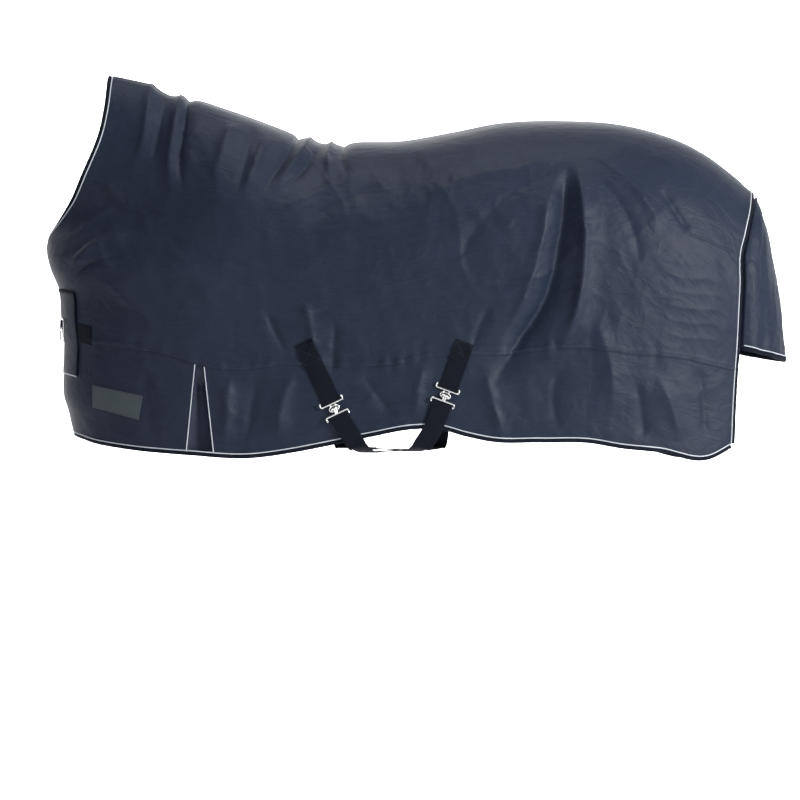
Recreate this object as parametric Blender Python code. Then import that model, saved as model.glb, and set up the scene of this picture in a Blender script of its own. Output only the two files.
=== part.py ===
"""High-neck turnout rug for a horse, modelled as its sewn panels, bindings, straps and clasps.

Frame: +X towards the tail, -Y the near (left) side, +Z up.  The origin is on the
withers, where the rug rests.  Metres throughout.
"""
import math

import bmesh
import bpy
import numpy as np
from mathutils import Matrix, Vector

# ---------------------------------------------------------------- driving dimensions
FRONT_TOP_X, FRONT_TOP_Z = -0.545, 0.175     # crest end of the neck opening
BACK_TOP_X = 1.050                           # top of the rear edge
HEM_FRONT_X, HEM_BACK_X = -0.638, 0.985      # hem ends at the chest and at the rear
BARREL_HALF = 0.332                          # half-width at the widest point of the body
NECK_HALF = 0.115                            # half-width of the neck opening
CHEST_ROUND = 0.26                           # share of the length that rounds into the chest
CAP_SHARE = 0.42                             # share of the drop that rounds over the back
NECK_CLOSING, NECK_CLOSED = 0.28, 0.50       # shares of the drop where the neck opening draws in

SHELL_THICK = 0.0020                         # outer cloth, as a solid
LINING_THICK = 0.0060                        # quilted filling and lining together
TOUCH_GAP = 0.0003                           # gap between pieces that touch
SEAM_GAP = 0.0003                            # each panel stops this short of its seam line
PIPING_RADIUS = 0.0015
GUSSET_CORD = 0.0010                         # radius of the piping beside the shoulder gusset
BINDING_WIDTH, BINDING_THICK = 0.0090, 0.0034

WEBBING_WIDTH, WEBBING_THICK = 0.046, 0.0020
FLAP_THICK = 0.0040                          # tail flap: cloth, filling and lining
FLAP_PIVOT_BACK, FLAP_PIVOT_UP = 0.0025, 0.006   # its turning line, from its top edge

CLASP_HALF = 0.0300                          # half-length of a clasp's bar
CLASP_THICK = 0.0035
CLASP_BAR = 0.0046                           # depth of the bar in its plane
CLASP_CURL = 0.0095                          # how far the bar's ends turn up or down
CLASP_REACH = 0.0270                         # from the slot plate's bar to the T-hook's bar
PLATE_CLEAR = 0.0018                         # slot plate to the cloth under it

STRAP_PIVOT_Y, STRAP_PIVOT_Z = 0.3400, -0.7000   # fold where the belly straps leave the off side
STRAP_CROSS_X = 0.150                        # the two belly straps cross here
STRAP_SPREAD = 0.130                         # and start this far fore and aft of it
STRAP_LOW_Z = -0.7570

SLIDER_LENGTH, SLIDER_WALL = 0.016, 0.0030
RING_HALF, RING_WIRE = 0.022, 0.0022
RING_TAB_X, RING_TAB_TOP_Z, RING_TAB_LOW_Z, RING_TAB_WIDTH = 0.955, -0.585, -0.655, 0.026

PATCH_X, PATCH_Z = (-0.577, -0.450), (-0.596, -0.622)
PATCH_HEIGHT, PATCH_THICK, PATCH_GAP = 0.058, 0.0010, 0.0009

# side outlines: height of the spine and of the hem along X, and the front and rear edges along Z
SPINE = [(-0.545, 0.175), (-0.462, 0.155), (-0.395, 0.124), (-0.350, 0.118), (-0.250, 0.088),
         (-0.150, 0.052), (-0.060, 0.018), (0.000, 0.001), (0.060, 0.008), (0.175, 0.011),
         (0.300, 0.032), (0.425, 0.056), (0.575, 0.062), (0.738, 0.050), (0.825, 0.028),
         (0.900, -0.002), (0.950, -0.032), (1.000, -0.070), (1.050, -0.112)]
HEM = [(-0.638, -0.712), (-0.560, -0.733), (-0.480, -0.745), (-0.338, -0.757), (-0.186, -0.764),
       (-0.100, -0.753), (-0.020, -0.738), (0.105, -0.712), (0.206, -0.694), (0.271, -0.694),
       (0.334, -0.711), (0.397, -0.724), (0.515, -0.726), (0.638, -0.728), (0.708, -0.740),
       (0.804, -0.750), (0.927, -0.768), (0.985, -0.740)]
FRONT = [(-0.712, -0.638), (-0.660, -0.650), (-0.620, -0.662), (-0.558, -0.662), (-0.482, -0.660),
         (-0.428, -0.667), (-0.362, -0.672), (-0.295, -0.698), (-0.265, -0.704), (-0.225, -0.698),
         (-0.190, -0.672), (-0.145, -0.638), (-0.057, -0.596), (0.017, -0.566), (0.092, -0.551),
         (0.175, -0.545)]
REAR = [(-0.740, 0.985), (-0.632, 0.990), (-0.500, 0.998), (-0.410, 1.002), (-0.350, 1.005),
        (-0.270, 1.008), (-0.232, 1.019), (-0.155, 1.040), (-0.112, 1.050)]
SEAM = [(-0.625, -0.480), (-0.524, -0.490), (-0.408, -0.509), (-0.278, -0.545), (-0.198, -0.550),
        (-0.100, -0.538), (0.000, -0.543), (0.175, -0.536), (0.257, -0.519), (0.443, -0.514),
        (0.592, -0.497), (0.739, -0.514), (0.838, -0.521), (0.985, -0.552)]
# half-width of the body along the panel, 0 at the chest and 1 at the rear edge
WIDTHS = [(0.26, 0.304), (0.40, 0.322), (0.55, BARREL_HALF), (0.70, 0.326), (0.82, 0.310),
          (0.90, 0.282), (0.96, 0.245), (1.00, 0.210)]
# tail flap down its middle, from the seam to the hem
FLAP_LINE = [(-0.118, 1.056), (-0.145, 1.068), (-0.212, 1.092), (-0.315, 1.112),
             (-0.415, 1.128), (-0.528, 1.140)]
FLAP_TOP_Z, FLAP_SIDE_Z = -0.128, -0.500

GUSSET_TOP = (-0.320, -0.300)                # the shoulder gusset's sides at the body seam
GUSSET_HEM = (-0.343, -0.276)                # and at the hem
TAB_TOP_Z = -0.492                           # sewn tops of the surcingle tabs and anchors
NEAR_TABS = {"front": ((-0.059, TAB_TOP_Z), (0.011, -0.640)),
             "rear": ((0.332, TAB_TOP_Z), (0.289, -0.608))}

NAVY = (0.035, 0.045, 0.075, 1.0)
COLOURS = {"shell": (NAVY, 0.55, 0.0), "lining": ((0.05, 0.06, 0.09, 1.0), 0.8, 0.0),
           "binding": ((0.012, 0.016, 0.03, 1.0), 0.7, 0.0),
           "piping": ((0.78, 0.80, 0.82, 1.0), 0.4, 0.0),
           "webbing": ((0.012, 0.015, 0.026, 1.0), 0.75, 0.0),
           "nickel": ((0.85, 0.86, 0.87, 1.0), 0.2, 1.0),
           "patch": ((0.10, 0.12, 0.12, 1.0), 0.5, 0.0)}


# ---------------------------------------------------------------- scene and helpers
for old in list(bpy.data.objects):
    bpy.data.objects.remove(old, do_unlink=True)

RUG = bpy.data.collections.new("turnout_rug")
bpy.context.scene.collection.children.link(RUG)


def material(name):
    """Return the named Principled material, made once."""
    found = bpy.data.materials.get(name)
    if found:
        return found
    colour, roughness, metallic = COLOURS[name]
    made = bpy.data.materials.new(name)
    made.use_nodes = True
    shader = made.node_tree.nodes["Principled BSDF"]
    shader.inputs["Base Color"].default_value = colour
    shader.inputs["Roughness"].default_value = roughness
    shader.inputs["Metallic"].default_value = metallic
    return made


def add(name, data, slot, parent=None):
    """Link a mesh or curve as one named piece of the rug."""
    piece = bpy.data.objects.new(name, data)
    data.materials.append(material(slot))
    RUG.objects.link(piece)
    if parent:
        piece.parent = parent
        piece.matrix_parent_inverse = parent.matrix_world.inverted()
    return piece


def pivot(name, place):
    """An empty on a joint's axis, which the moving pieces are parented to."""
    empty = bpy.data.objects.new(name, None)
    empty.location = place
    empty.empty_display_size = 0.03
    RUG.objects.link(empty)
    bpy.context.view_layer.update()
    return empty


def smooth(points):
    """Return a smooth function through (place, value) points, with Hermite slopes."""
    ordered = sorted(points)
    xs = np.array([p[0] for p in ordered])
    ys = np.array([p[1] for p in ordered])
    slopes = np.gradient(ys, xs)

    def at(x):
        x = min(max(x, xs[0]), xs[-1])
        k = int(min(max(np.searchsorted(xs, x) - 1, 0), len(xs) - 2))
        step = xs[k + 1] - xs[k]
        s = (x - xs[k]) / step
        rise = 3 * s * s - 2 * s ** 3
        return (ys[k] * (1 - rise) + ys[k + 1] * rise
                + slopes[k] * step * (s - 2 * s * s + s ** 3)
                + slopes[k + 1] * step * (s ** 3 - s * s))
    return at


def ease(a, b, x):
    s = min(max((x - a) / (b - a), 0.0), 1.0)
    return s * s * (3 - 2 * s)


spine_z, hem_z, seam_z = smooth(SPINE), smooth(HEM), smooth(SEAM)
front_x, rear_x, body_half, flap_x = smooth(FRONT), smooth(REAR), smooth(WIDTHS), smooth(FLAP_LINE)
FRONT_LOW_Z, REAR_LOW_Z = hem_z(HEM_FRONT_X), hem_z(HEM_BACK_X)
REAR_TOP_Z = spine_z(BACK_TOP_X)


def half_width(u, t):
    """Half-width of the body at the share u of its length and t of its drop."""
    if u >= CHEST_ROUND:
        wide = body_half(u)
    else:
        s = u / CHEST_ROUND
        closed = ease(NECK_CLOSING, NECK_CLOSED, t)
        edge = NECK_HALF * (1 - closed)
        start = 0.12 * (1 - closed)
        floor = math.sqrt(1 - (1 - start) ** 2)
        turned = start + (1 - start) * s
        chest = (math.sqrt(max(1 - (1 - turned) ** 2, 0.0)) - floor) / (1 - floor)
        slope = ease(-0.15, 1.0, 0.0)
        neck = (ease(-0.15, 1.0, s) - slope) / (1 - slope)
        wide = edge + (body_half(CHEST_ROUND) - edge) * (neck + (chest - neck) * closed)
    cap = 1.0
    if t < CAP_SHARE:
        cap = math.sqrt(max(1 - (1 - t / CAP_SHARE) ** 2, 0.0))
    return wide * cap


def cloth(u, t, side=-1):
    """Inner face of the outer cloth, on the near (-1) or off (+1) side."""
    top_x = FRONT_TOP_X + (BACK_TOP_X - FRONT_TOP_X) * u
    low_x = HEM_FRONT_X + (HEM_BACK_X - HEM_FRONT_X) * u
    z = (1 - t) * spine_z(top_x) + t * hem_z(low_x)
    front_z = (1 - t) * FRONT_TOP_Z + t * FRONT_LOW_Z
    rear_z = (1 - t) * REAR_TOP_Z + t * REAR_LOW_Z
    bulge = front_x(front_z) - ((1 - t) * FRONT_TOP_X + t * HEM_FRONT_X)
    trail = rear_x(rear_z) - ((1 - t) * BACK_TOP_X + t * HEM_BACK_X)
    x = (1 - t) * top_x + t * low_x + bulge * (1 - u) ** 4 + trail * u ** 6
    return Vector((x, side * half_width(u, t), z))


def cloth_normal(u, t, side=-1):
    """Unit normal of the cloth, pointing away from the horse."""
    step = 0.002
    u0, u1 = max(u - step, 0.0), min(u + step, 1.0)
    t0, t1 = max(t - step, 0.0), min(t + step, 1.0)
    along = cloth(u1, t, side) - cloth(u0, t, side)
    down = cloth(u, t1, side) - cloth(u, t0, side)
    normal = along.cross(down).normalized()
    return normal if side > 0 else -normal


def find(x, z):
    """Return the shares (u, t) of the cloth point at this X and Z."""
    u, t = 0.5, 0.5
    for _ in range(40):
        here = cloth(u, t)
        u = min(max(u + (x - here.x) / 1.65, 0.0), 1.0)
        t = min(max(t - (z - here.z) / 0.80, 0.0), 1.0)
    return u, t


def solid_from_layers(outer, inner):
    """Closed mesh between two equal grids of points."""
    rows, cols = len(outer), len(outer[0])
    mesh = bmesh.new()
    top = [[mesh.verts.new(p) for p in row] for row in outer]
    low = [[mesh.verts.new(p) for p in row] for row in inner]
    for j in range(rows - 1):
        for i in range(cols - 1):
            mesh.faces.new((top[j][i], top[j][i + 1], top[j + 1][i + 1], top[j + 1][i]))
            mesh.faces.new((low[j][i], low[j + 1][i], low[j + 1][i + 1], low[j][i + 1]))
    for i in range(cols - 1):
        mesh.faces.new((top[0][i + 1], top[0][i], low[0][i], low[0][i + 1]))
        mesh.faces.new((top[-1][i], top[-1][i + 1], low[-1][i + 1], low[-1][i]))
    for j in range(rows - 1):
        mesh.faces.new((top[j][0], top[j + 1][0], low[j + 1][0], low[j][0]))
        mesh.faces.new((top[j + 1][-1], top[j][-1], low[j][-1], low[j + 1][-1]))
    bmesh.ops.recalc_face_normals(mesh, faces=mesh.faces)
    data = bpy.data.meshes.new("layers")
    mesh.to_mesh(data)
    mesh.free()
    return data


def shrink(grid, gap):
    """Pull a grid's four borders in by the gap, along the grid's own lines."""
    out = [[p.copy() for p in row] for row in grid]
    for j, row in enumerate(grid):
        out[j][0] = row[0] + (row[1] - row[0]).normalized() * gap
        out[j][-1] = row[-1] + (row[-2] - row[-1]).normalized() * gap
    below = [[p.copy() for p in row] for row in out]
    for i in range(len(grid[0])):
        out[0][i] = below[0][i] + (below[1][i] - below[0][i]).normalized() * gap
        out[-1][i] = below[-1][i] + (below[-2][i] - below[-1][i]).normalized() * gap
    return out


def ribbon(name, centres, acrosses, width, thick, slot, parent=None):
    """Flat webbing through centre points, each with its own direction across."""
    outer, inner = [], []
    for k, centre in enumerate(centres):
        ahead = centres[min(k + 1, len(centres) - 1)] - centres[max(k - 1, 0)]
        across = Vector(acrosses[k]).normalized()
        normal = ahead.cross(across).normalized() * (thick / 2)
        across = across * (width / 2)
        outer.append([centre - across + normal, centre + across + normal])
        inner.append([centre - across - normal, centre + across - normal])
    return add(name, solid_from_layers(outer, inner), slot, parent)


def cloth_strip(name, side, ends, across, width, low, high, slot, steps=5, free_y=None):
    """Webbing sewn flat on the cloth between two (X, Z) ends, following the cloth's facets."""
    (x0, z0), (x1, z1) = ends
    layers = []
    for lift in (high, low):
        rows = []
        for k in range(steps + 1):
            s = k / steps
            row = []
            for i in range(5):
                shift = (i / 4 - 0.5) * width
                x = x0 + (x1 - x0) * s + across.x * shift
                z = z0 + (z1 - z0) * s + across.z * shift
                point = on_cloth(x, z, lift, side)
                if free_y is not None and k == steps:
                    point.y = free_y + (lift - (low + high) / 2) * side
                row.append(point)
            rows.append(row)
        layers.append(rows)
    return add(name, solid_from_layers(layers[0], layers[1]), slot)


def tube(name, points, radius, slot, parent=None, closed=False, rounds=1):
    """Round cord or wire through the points."""
    curve = bpy.data.curves.new(name, "CURVE")
    curve.dimensions = "3D"
    line = curve.splines.new("POLY")
    line.points.add(len(points) - 1)
    for k, point in enumerate(points):
        line.points[k].co = (*point, 1.0)
    line.use_cyclic_u = closed
    curve.bevel_depth = radius
    curve.bevel_resolution = rounds
    curve.use_fill_caps = True
    return add(name, curve, slot, parent)


def plate(name, outlines, thick, frame, slot, parent=None):
    """Flat plate from closed outlines in its own plane, holes included."""
    curve = bpy.data.curves.new(name, "CURVE")
    curve.dimensions = "2D"
    curve.fill_mode = "BOTH"
    curve.extrude = thick / 2
    for outline in outlines:
        line = curve.splines.new("POLY")
        line.points.add(len(outline) - 1)
        for k, (x, y) in enumerate(outline):
            line.points[k].co = (x, y, 0.0, 1.0)
        line.use_cyclic_u = True
    piece = add(name, curve, slot)
    piece.matrix_world = frame
    if parent:
        bpy.context.view_layer.update()
        piece.parent = parent
        piece.matrix_parent_inverse = parent.matrix_world.inverted()
    return piece


def frame_at(place, across, up):
    """A plane's matrix: its X along across, its Y along up, its Z their normal."""
    x = Vector(across).normalized()
    z = x.cross(Vector(up)).normalized()
    y = z.cross(x)
    matrix = Matrix((x, y, z)).transposed().to_4x4()
    matrix.translation = place
    return matrix


def oval(centre, half_x, half_y, steps=14):
    turns = [2 * math.pi * k / steps for k in range(steps)]
    return [(centre[0] + half_x * math.cos(a), centre[1] + half_y * math.sin(a)) for a in turns]


def rectangle(half_x, half_y, centre=(0.0, 0.0)):
    cx, cy = centre
    return [(cx - half_x, cy - half_y), (cx + half_x, cy - half_y),
            (cx + half_x, cy + half_y), (cx - half_x, cy + half_y)]


# ---------------------------------------------------------------- the cloth's grid
CAP_ROWS, SIDE_ROWS, SKIRT_ROWS = 8, 4, 3
CHEST_TURNS = (0, 11, 22, 33, 44, 55, 67)
gusset_top = [find(x, seam_z(x))[0] for x in GUSSET_TOP]
gusset_hem = [find(x, hem_z(x))[0] for x in GUSSET_HEM]
columns = [CHEST_ROUND * (1 - math.cos(math.radians(a))) for a in CHEST_TURNS]
GUSSET_COL = len(columns)
columns += gusset_top + [0.25, 0.31, 0.38, 0.46, 0.54, 0.62, 0.70, 0.77, 0.83, 0.88, 0.92, 0.96, 1.0]
SEAM_ROW = CAP_ROWS + SIDE_ROWS


def seam_share(u):
    """Share of the drop at which the horizontal body seam runs."""
    t = 0.7
    for _ in range(20):
        here = cloth(u, t)
        t += (here.z - seam_z(here.x)) / 0.80
    return t


def column_share(i, t, t_seam):
    """Share of the length of column i; the gusset's sides spread below the seam."""
    u = columns[i]
    low = (t - t_seam) / (1 - t_seam)
    if low <= 0:
        return u
    knots = [0.0, gusset_top[0], gusset_top[1], 1.0]
    spread = [0.0, gusset_hem[0], gusset_hem[1], 1.0]
    return (1 - low) * u + low * float(np.interp(u, knots, spread))


def grid_shares():
    """Shares (u, t) of every grid point, row by row from the spine to the hem."""
    rows = []
    for j in range(CAP_ROWS + SIDE_ROWS + SKIRT_ROWS + 1):
        row = []
        for i, u in enumerate(columns):
            t_seam = seam_share(u)
            if j <= CAP_ROWS:
                t = CAP_SHARE * (1 - math.cos(math.pi / 2 * j / CAP_ROWS))
            elif j <= SEAM_ROW:
                t = CAP_SHARE + (t_seam - CAP_SHARE) * (j - CAP_ROWS) / SIDE_ROWS
            else:
                t = t_seam + (1 - t_seam) * (j - SEAM_ROW) / SKIRT_ROWS
            row.append((column_share(i, t, t_seam), t))
        rows.append(row)
    return rows


SHARES = grid_shares()
LAST_ROW, LAST_COL = len(SHARES) - 1, len(columns) - 1
SHARE_POINTS = [[cloth(u, t) for u, t in row] for row in SHARES]


def layer(side, rows, cols, lift):
    """Grid of points at a lift from the cloth's inner face, between given rows and columns."""
    out = []
    for j in range(rows[0], rows[1] + 1):
        row = []
        for i in range(cols[0], cols[1] + 1):
            u, t = SHARES[j][i]
            normal = cloth_normal(max(u, 0.0005), max(t, 0.001), side)
            row.append(cloth(u, t, side) + normal * lift)
        out.append(row)
    return out


def keep_side(grid, side, gap):
    """Hold a grid on its own side of the middle plane."""
    for row in grid:
        for p in row:
            if side * p.y < gap:
                p.y = side * gap
    return grid


def inside_quad(corners, spot, start=0.0, reach=1.0):
    """Shares (a, b) of a spot within a quad's corners, or None when it lies outside."""
    p00, p10, p01, p11 = corners
    a, b = 0.5, 0.5
    for _ in range(8):
        here = p00 * (1 - a) * (1 - b) + p10 * a * (1 - b) + p01 * (1 - a) * b + p11 * a * b
        by_a = (p10 - p00) * (1 - b) + (p11 - p01) * b
        by_b = (p01 - p00) * (1 - a) + (p11 - p10) * a
        miss = spot - here
        area = by_a.x * by_b.y - by_a.y * by_b.x
        if abs(area) < 1e-12:
            return None
        a += (miss.x * by_b.y - miss.y * by_b.x) / area
        b += (by_a.x * miss.y - by_a.y * miss.x) / area
        a, b = min(max(a, -2.0), 3.0), min(max(b, -2.0), 3.0)
    slack = 1e-6
    if start - slack <= a <= 1 + slack and -slack <= b <= reach + slack:
        return a, b
    return None


LIFTED = {}


def on_facets(first, z, lift, side, axis):
    """Point on the faceted cloth at a lift, found by one coordinate (axis 0 or 1) and Z."""
    key = (side, round(lift, 6))
    if key not in LIFTED:
        LIFTED[key] = keep_side(layer(side, (0, LAST_ROW), (0, LAST_COL), lift), side, 0.0)
    grid = LIFTED[key]
    spot = Vector((first, z))
    for i in range(LAST_COL):
        for j in range(LAST_ROW):
            quad = (grid[j][i], grid[j][i + 1], grid[j + 1][i], grid[j + 1][i + 1])
            start = -0.3 if i == 0 else 0.0
            reach = 1.8 if j == LAST_ROW - 1 else 1.0
            shares = inside_quad([Vector((p[axis], p.z)) for p in quad], spot, start, reach)
            if shares:
                a, b = shares
                return (quad[0] * (1 - a) * (1 - b) + quad[1] * a * (1 - b)
                        + quad[2] * (1 - a) * b + quad[3] * a * b)
    raise ValueError(f"no cloth at {first:.3f}, {z:.3f}")


def on_cloth(x, z, lift, side=-1):
    """A point this far outside the cloth's inner face, at this X and Z."""
    return on_facets(x, z, lift, side, 0)


def chest_point(y, z, lift):
    """Point across the front of the chest at a lift, y to either side of the middle."""
    side = -1 if y < 0 else 1
    return on_facets(y if abs(y) > 1e-6 else 0.0, z, lift, side, 1)


def panel(name, side, rows, cols, low, high, slot, gap=SEAM_GAP):
    """One cut panel of a side, as a closed solid between two lifts."""
    outer = keep_side(shrink(layer(side, rows, cols, high), gap), side, gap)
    inner = keep_side(shrink(layer(side, rows, cols, low), gap), side, gap)
    return add(name, solid_from_layers(outer, inner), slot)


def trimmed(points, start, end):
    """Shorten a run of points at its two ends, along its own first and last stretch."""
    out = [p.copy() for p in points]
    out[0] += (points[1] - points[0]).normalized() * start
    out[-1] += (points[-2] - points[-1]).normalized() * end
    return out


# each edge: its grid points, the way back into the cloth, and how much its two ends are trimmed
EDGES = {"neck": ([(j, 0) for j in range(CAP_ROWS + 2)], (1, 0), (0.0015, 0.018)),
         "hem": ([(LAST_ROW, i) for i in range(LAST_COL + 1)], (0, -1), (0.0020, 0.0020)),
         "rear": ([(j, LAST_COL) for j in range(1, LAST_ROW + 1)], (-1, 0), (0.0, 0.0010))}


def edge_run(side, kind, lift, offset):
    """Points beside an edge of the cloth, offset outwards within its own surface."""
    cells, back, trims = EDGES[kind]
    points = []
    for j, i in cells:
        u, t = SHARES[j][i]
        base = cloth(u, t, side)
        inner = cloth(u + back[0] * 0.004, t + back[1] * 0.004, side)
        away = (base - inner).normalized()
        points.append(base + cloth_normal(u, max(t, 0.001), side) * lift + away * offset)
    return trimmed(points, *trims)


SIDES = {"left": -1, "right": 1}


def make_panels():
    for name, side in SIDES.items():
        g = GUSSET_COL
        panel(f"upper_panel_{name}", side, (0, SEAM_ROW), (0, LAST_COL), 0, SHELL_THICK, "shell")
        panel(f"chest_panel_{name}", side, (SEAM_ROW, LAST_ROW), (0, g), 0, SHELL_THICK, "shell")
        panel(f"shoulder_gusset_{name}", side, (SEAM_ROW, LAST_ROW), (g, g + 1), 0, SHELL_THICK,
              "shell", gap=2 * GUSSET_CORD + 3 * TOUCH_GAP)
        panel(f"skirt_panel_{name}", side, (SEAM_ROW, LAST_ROW), (g + 1, LAST_COL), 0,
              SHELL_THICK, "shell")
        panel(f"quilted_lining_{name}", side, (0, LAST_ROW), (0, LAST_COL),
              -TOUCH_GAP - LINING_THICK, -TOUCH_GAP, "lining", gap=0.0008)


BINDING_START = 2 * PIPING_RADIUS + 4 * TOUCH_GAP   # the binding begins outside the piping


def make_edges():
    """White piping along the neck, hem and rear edges, and the dark binding outside it."""
    mid, half = SHELL_THICK / 2, BINDING_THICK / 2
    for name, side in SIDES.items():
        for kind in EDGES:
            cord = edge_run(side, kind, mid, PIPING_RADIUS + TOUCH_GAP)
            tube(f"{kind}_piping_{name}", cord, PIPING_RADIUS, "piping")
            layers = []
            start = BINDING_START + (TOUCH_GAP if kind == "neck" else 0.0)
            for lift in (mid + half, mid - half):
                near = edge_run(side, kind, lift, start)
                far = edge_run(side, kind, lift, start + BINDING_WIDTH)
                rows = [[a, b] for a, b in zip(near, far)]
                layers.append(keep_side(rows, side, TOUCH_GAP))
            add(f"{kind}_binding_{name}", solid_from_layers(*layers), "binding")


def make_gusset_piping():
    """Piping down the two sides of each shoulder gusset."""
    for name, side in SIDES.items():
        for place, col, shift in (("fore", GUSSET_COL, 1), ("aft", GUSSET_COL + 1, -1)):
            points = []
            for j in range(SEAM_ROW, LAST_ROW + 1):
                u, t = SHARES[j][col]
                t = min(max(t, SHARES[SEAM_ROW][col][1] + 0.004), 0.996)
                base = cloth(u, t, side) + cloth_normal(u, t, side) * (SHELL_THICK / 2)
                base.x += shift * (GUSSET_CORD + TOUCH_GAP)
                points.append(base)
            tube(f"gusset_piping_{place}_{name}", points, GUSSET_CORD, "piping")


# ---------------------------------------------------------------- tail flap
REAR_OUT = edge_run(-1, "rear", SHELL_THICK / 2, BINDING_START + BINDING_WIDTH)


def flap_edge(z):
    """X and half-width of the rear binding's outer edge at this height."""
    levels = [p.z for p in REAR_OUT][::-1]
    x = float(np.interp(z, levels, [p.x for p in REAR_OUT][::-1]))
    half = float(np.interp(z, levels, [-p.y for p in REAR_OUT][::-1]))
    return x, half


def flap_point(z_share, turn, lift):
    """Point of the tail flap: z_share down its length, turn from -1 to 1 across it."""
    side_z = FLAP_TOP_Z + (FLAP_SIDE_Z - FLAP_TOP_Z) * z_share
    mid_z = FLAP_TOP_Z + (FLAP_LINE[-1][0] - FLAP_TOP_Z) * z_share
    edge_x, half = flap_edge(side_z)
    edge_x += FLAP_THICK + TOUCH_GAP
    swing = math.sin(turn * math.pi / 2)
    round_in = math.cos(turn * math.pi / 2)
    z = mid_z * round_in + side_z * (1 - round_in)
    x = edge_x + max(flap_x(mid_z) - edge_x, 0.004) * round_in
    inside = Vector((edge_x - 0.20, 0.0, z))
    place = Vector((x, half * 0.97 * swing, z))
    return place + (place - inside).normalized() * lift


def make_tail_flap():
    """Padded flap over the tail, with its own piping and binding, hung at its top seam."""
    hinge = pivot("tail_flap_pivot", (flap_x(FLAP_TOP_Z) - FLAP_PIVOT_BACK, 0.0, FLAP_TOP_Z + FLAP_PIVOT_UP))
    downs = [0.0, 0.12, 0.28, 0.46, 0.64, 0.82, 1.0]
    turns = [-1.0, -0.85, -0.65, -0.4, -0.15, 0.15, 0.4, 0.65, 0.85, 1.0]
    outer = [[flap_point(s, a, 0.0) for a in turns] for s in downs]
    inner = [[flap_point(s, a, -FLAP_THICK) for a in turns] for s in downs]
    add("tail_flap", solid_from_layers(outer, inner), "shell", hinge)
    low = -PIPING_RADIUS - TOUCH_GAP
    mid = -FLAP_THICK / 2
    cord = [flap_point(1.0, a, mid) + Vector((0, 0, low)) for a in turns]
    tube("tail_flap_piping", cord, PIPING_RADIUS, "piping", hinge)
    start = Vector((0, 0, 2 * low))
    drop = Vector((0, 0, -BINDING_WIDTH))
    band = [[flap_point(1.0, a, mid + BINDING_THICK / 2) + start + k * drop for a in turns]
            for k in (0, 1)]
    back = [[flap_point(1.0, a, mid - BINDING_THICK / 2) + start + k * drop for a in turns]
            for k in (0, 1)]
    add("tail_flap_binding", solid_from_layers(band, back), "binding", hinge)
    return hinge


# ---------------------------------------------------------------- surcingles
def clasp_plate_outline():
    """Slot plate: a bar with turned-up ends, two prongs and a slotted oval."""
    half, bar, curl = CLASP_HALF, CLASP_BAR / 2, CLASP_CURL
    right = [(0.0, bar), (half - 0.0045, bar), (half - 0.0045, curl), (half, curl),
             (half, -bar * 0.4), (half - 0.003, -bar), (0.007, -bar), (0.007, -0.0050),
             (0.0125, -0.0085), (0.0145, -0.0130), (0.0125, -0.0175), (0.007, -0.0205),
             (0.0, -0.0215)]
    left = [(-x, y) for x, y in reversed(right[1:-1])]
    return [right + left, oval((0.0, -0.0130), 0.0095, 0.0042)]


def clasp_hook_outline():
    """T-hook: a bar with turned-down ends and a T head on a short neck."""
    half, bar, curl = CLASP_HALF, CLASP_BAR / 2, CLASP_CURL
    right = [(0.0, 0.0160), (0.0065, 0.0160), (0.0080, 0.0125), (0.0040, 0.0100),
             (0.0034, bar), (half - 0.003, bar), (half, bar * 0.4), (half, -curl),
             (half - 0.0045, -curl), (half - 0.0045, -bar), (0.0, -bar)]
    left = [(-x, y) for x, y in reversed(right[1:-1])]
    return [right + left]


def ring_outline(inner_x, inner_y, wall):
    return [rectangle(inner_x + wall, inner_y + wall), rectangle(inner_x, inner_y)]


def near_tab_points(where, lift):
    """Centres down a near-side tab, and its direction across."""
    (x0, z0), (x1, z1) = NEAR_TABS[where]
    steps = [0.0, 0.33, 0.66, 1.0]
    centres = [on_cloth(x0 + (x1 - x0) * s, z0 + (z1 - z0) * s, lift) for s in steps]
    down = Vector((x1 - x0, 0.0, z1 - z0)).normalized()
    across = Vector((-down.z, 0.0, down.x))
    return centres, across, down


def strap_path(where):
    """Centre points and across directions of a belly strap, near clasp to off side."""
    fore = -1 if where == "front" else 1
    start_x = STRAP_CROSS_X + fore * STRAP_SPREAD
    end_x = STRAP_CROSS_X - fore * STRAP_SPREAD
    low = STRAP_LOW_Z + fore * 0.0022
    (x0, z0), (x1, z1) = NEAR_TABS[where]
    down = Vector((x1 - x0, 0.0, z1 - z0)).normalized()
    across = Vector((-down.z, 0.0, down.x))
    top = hook_place(where) + down * (CLASP_BAR / 2 + 3 * TOUCH_GAP)
    swing = -fore
    beside = abs(on_cloth(start_x + swing * 0.040, -0.690, SHELL_THICK).y) + 0.0056
    centres = [top,
               Vector((start_x + swing * 0.024, -beside, -0.6980)),
               Vector((start_x + swing * 0.046, -beside, -0.7340)),
               Vector((start_x + swing * 0.062, -beside + 0.014, -0.7500)),
               Vector((start_x + swing * 0.078, -beside + 0.060, low)),
               Vector((STRAP_CROSS_X + fore * 0.040, -0.150, low)),
               Vector((STRAP_CROSS_X, 0.0, low)),
               Vector((STRAP_CROSS_X - fore * 0.048, 0.130, low)),
               Vector((STRAP_CROSS_X - fore * 0.088, 0.250, low)),
               Vector((end_x + fore * 0.018, STRAP_PIVOT_Y - 0.022, -0.7545)),
               Vector((end_x + fore * 0.006, STRAP_PIVOT_Y - 0.002, -0.7420)),
               Vector((end_x, STRAP_PIVOT_Y, STRAP_PIVOT_Z - 0.0010))]
    flat = Vector((1.0, -swing * 0.32, 0.0)).normalized()
    level = Vector((1.0, 0.0, 0.0))
    acrosses = [across, across + level, level, (flat + level).normalized(), flat, flat, flat,
                flat, flat, level, level, level]
    return centres, acrosses


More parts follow.
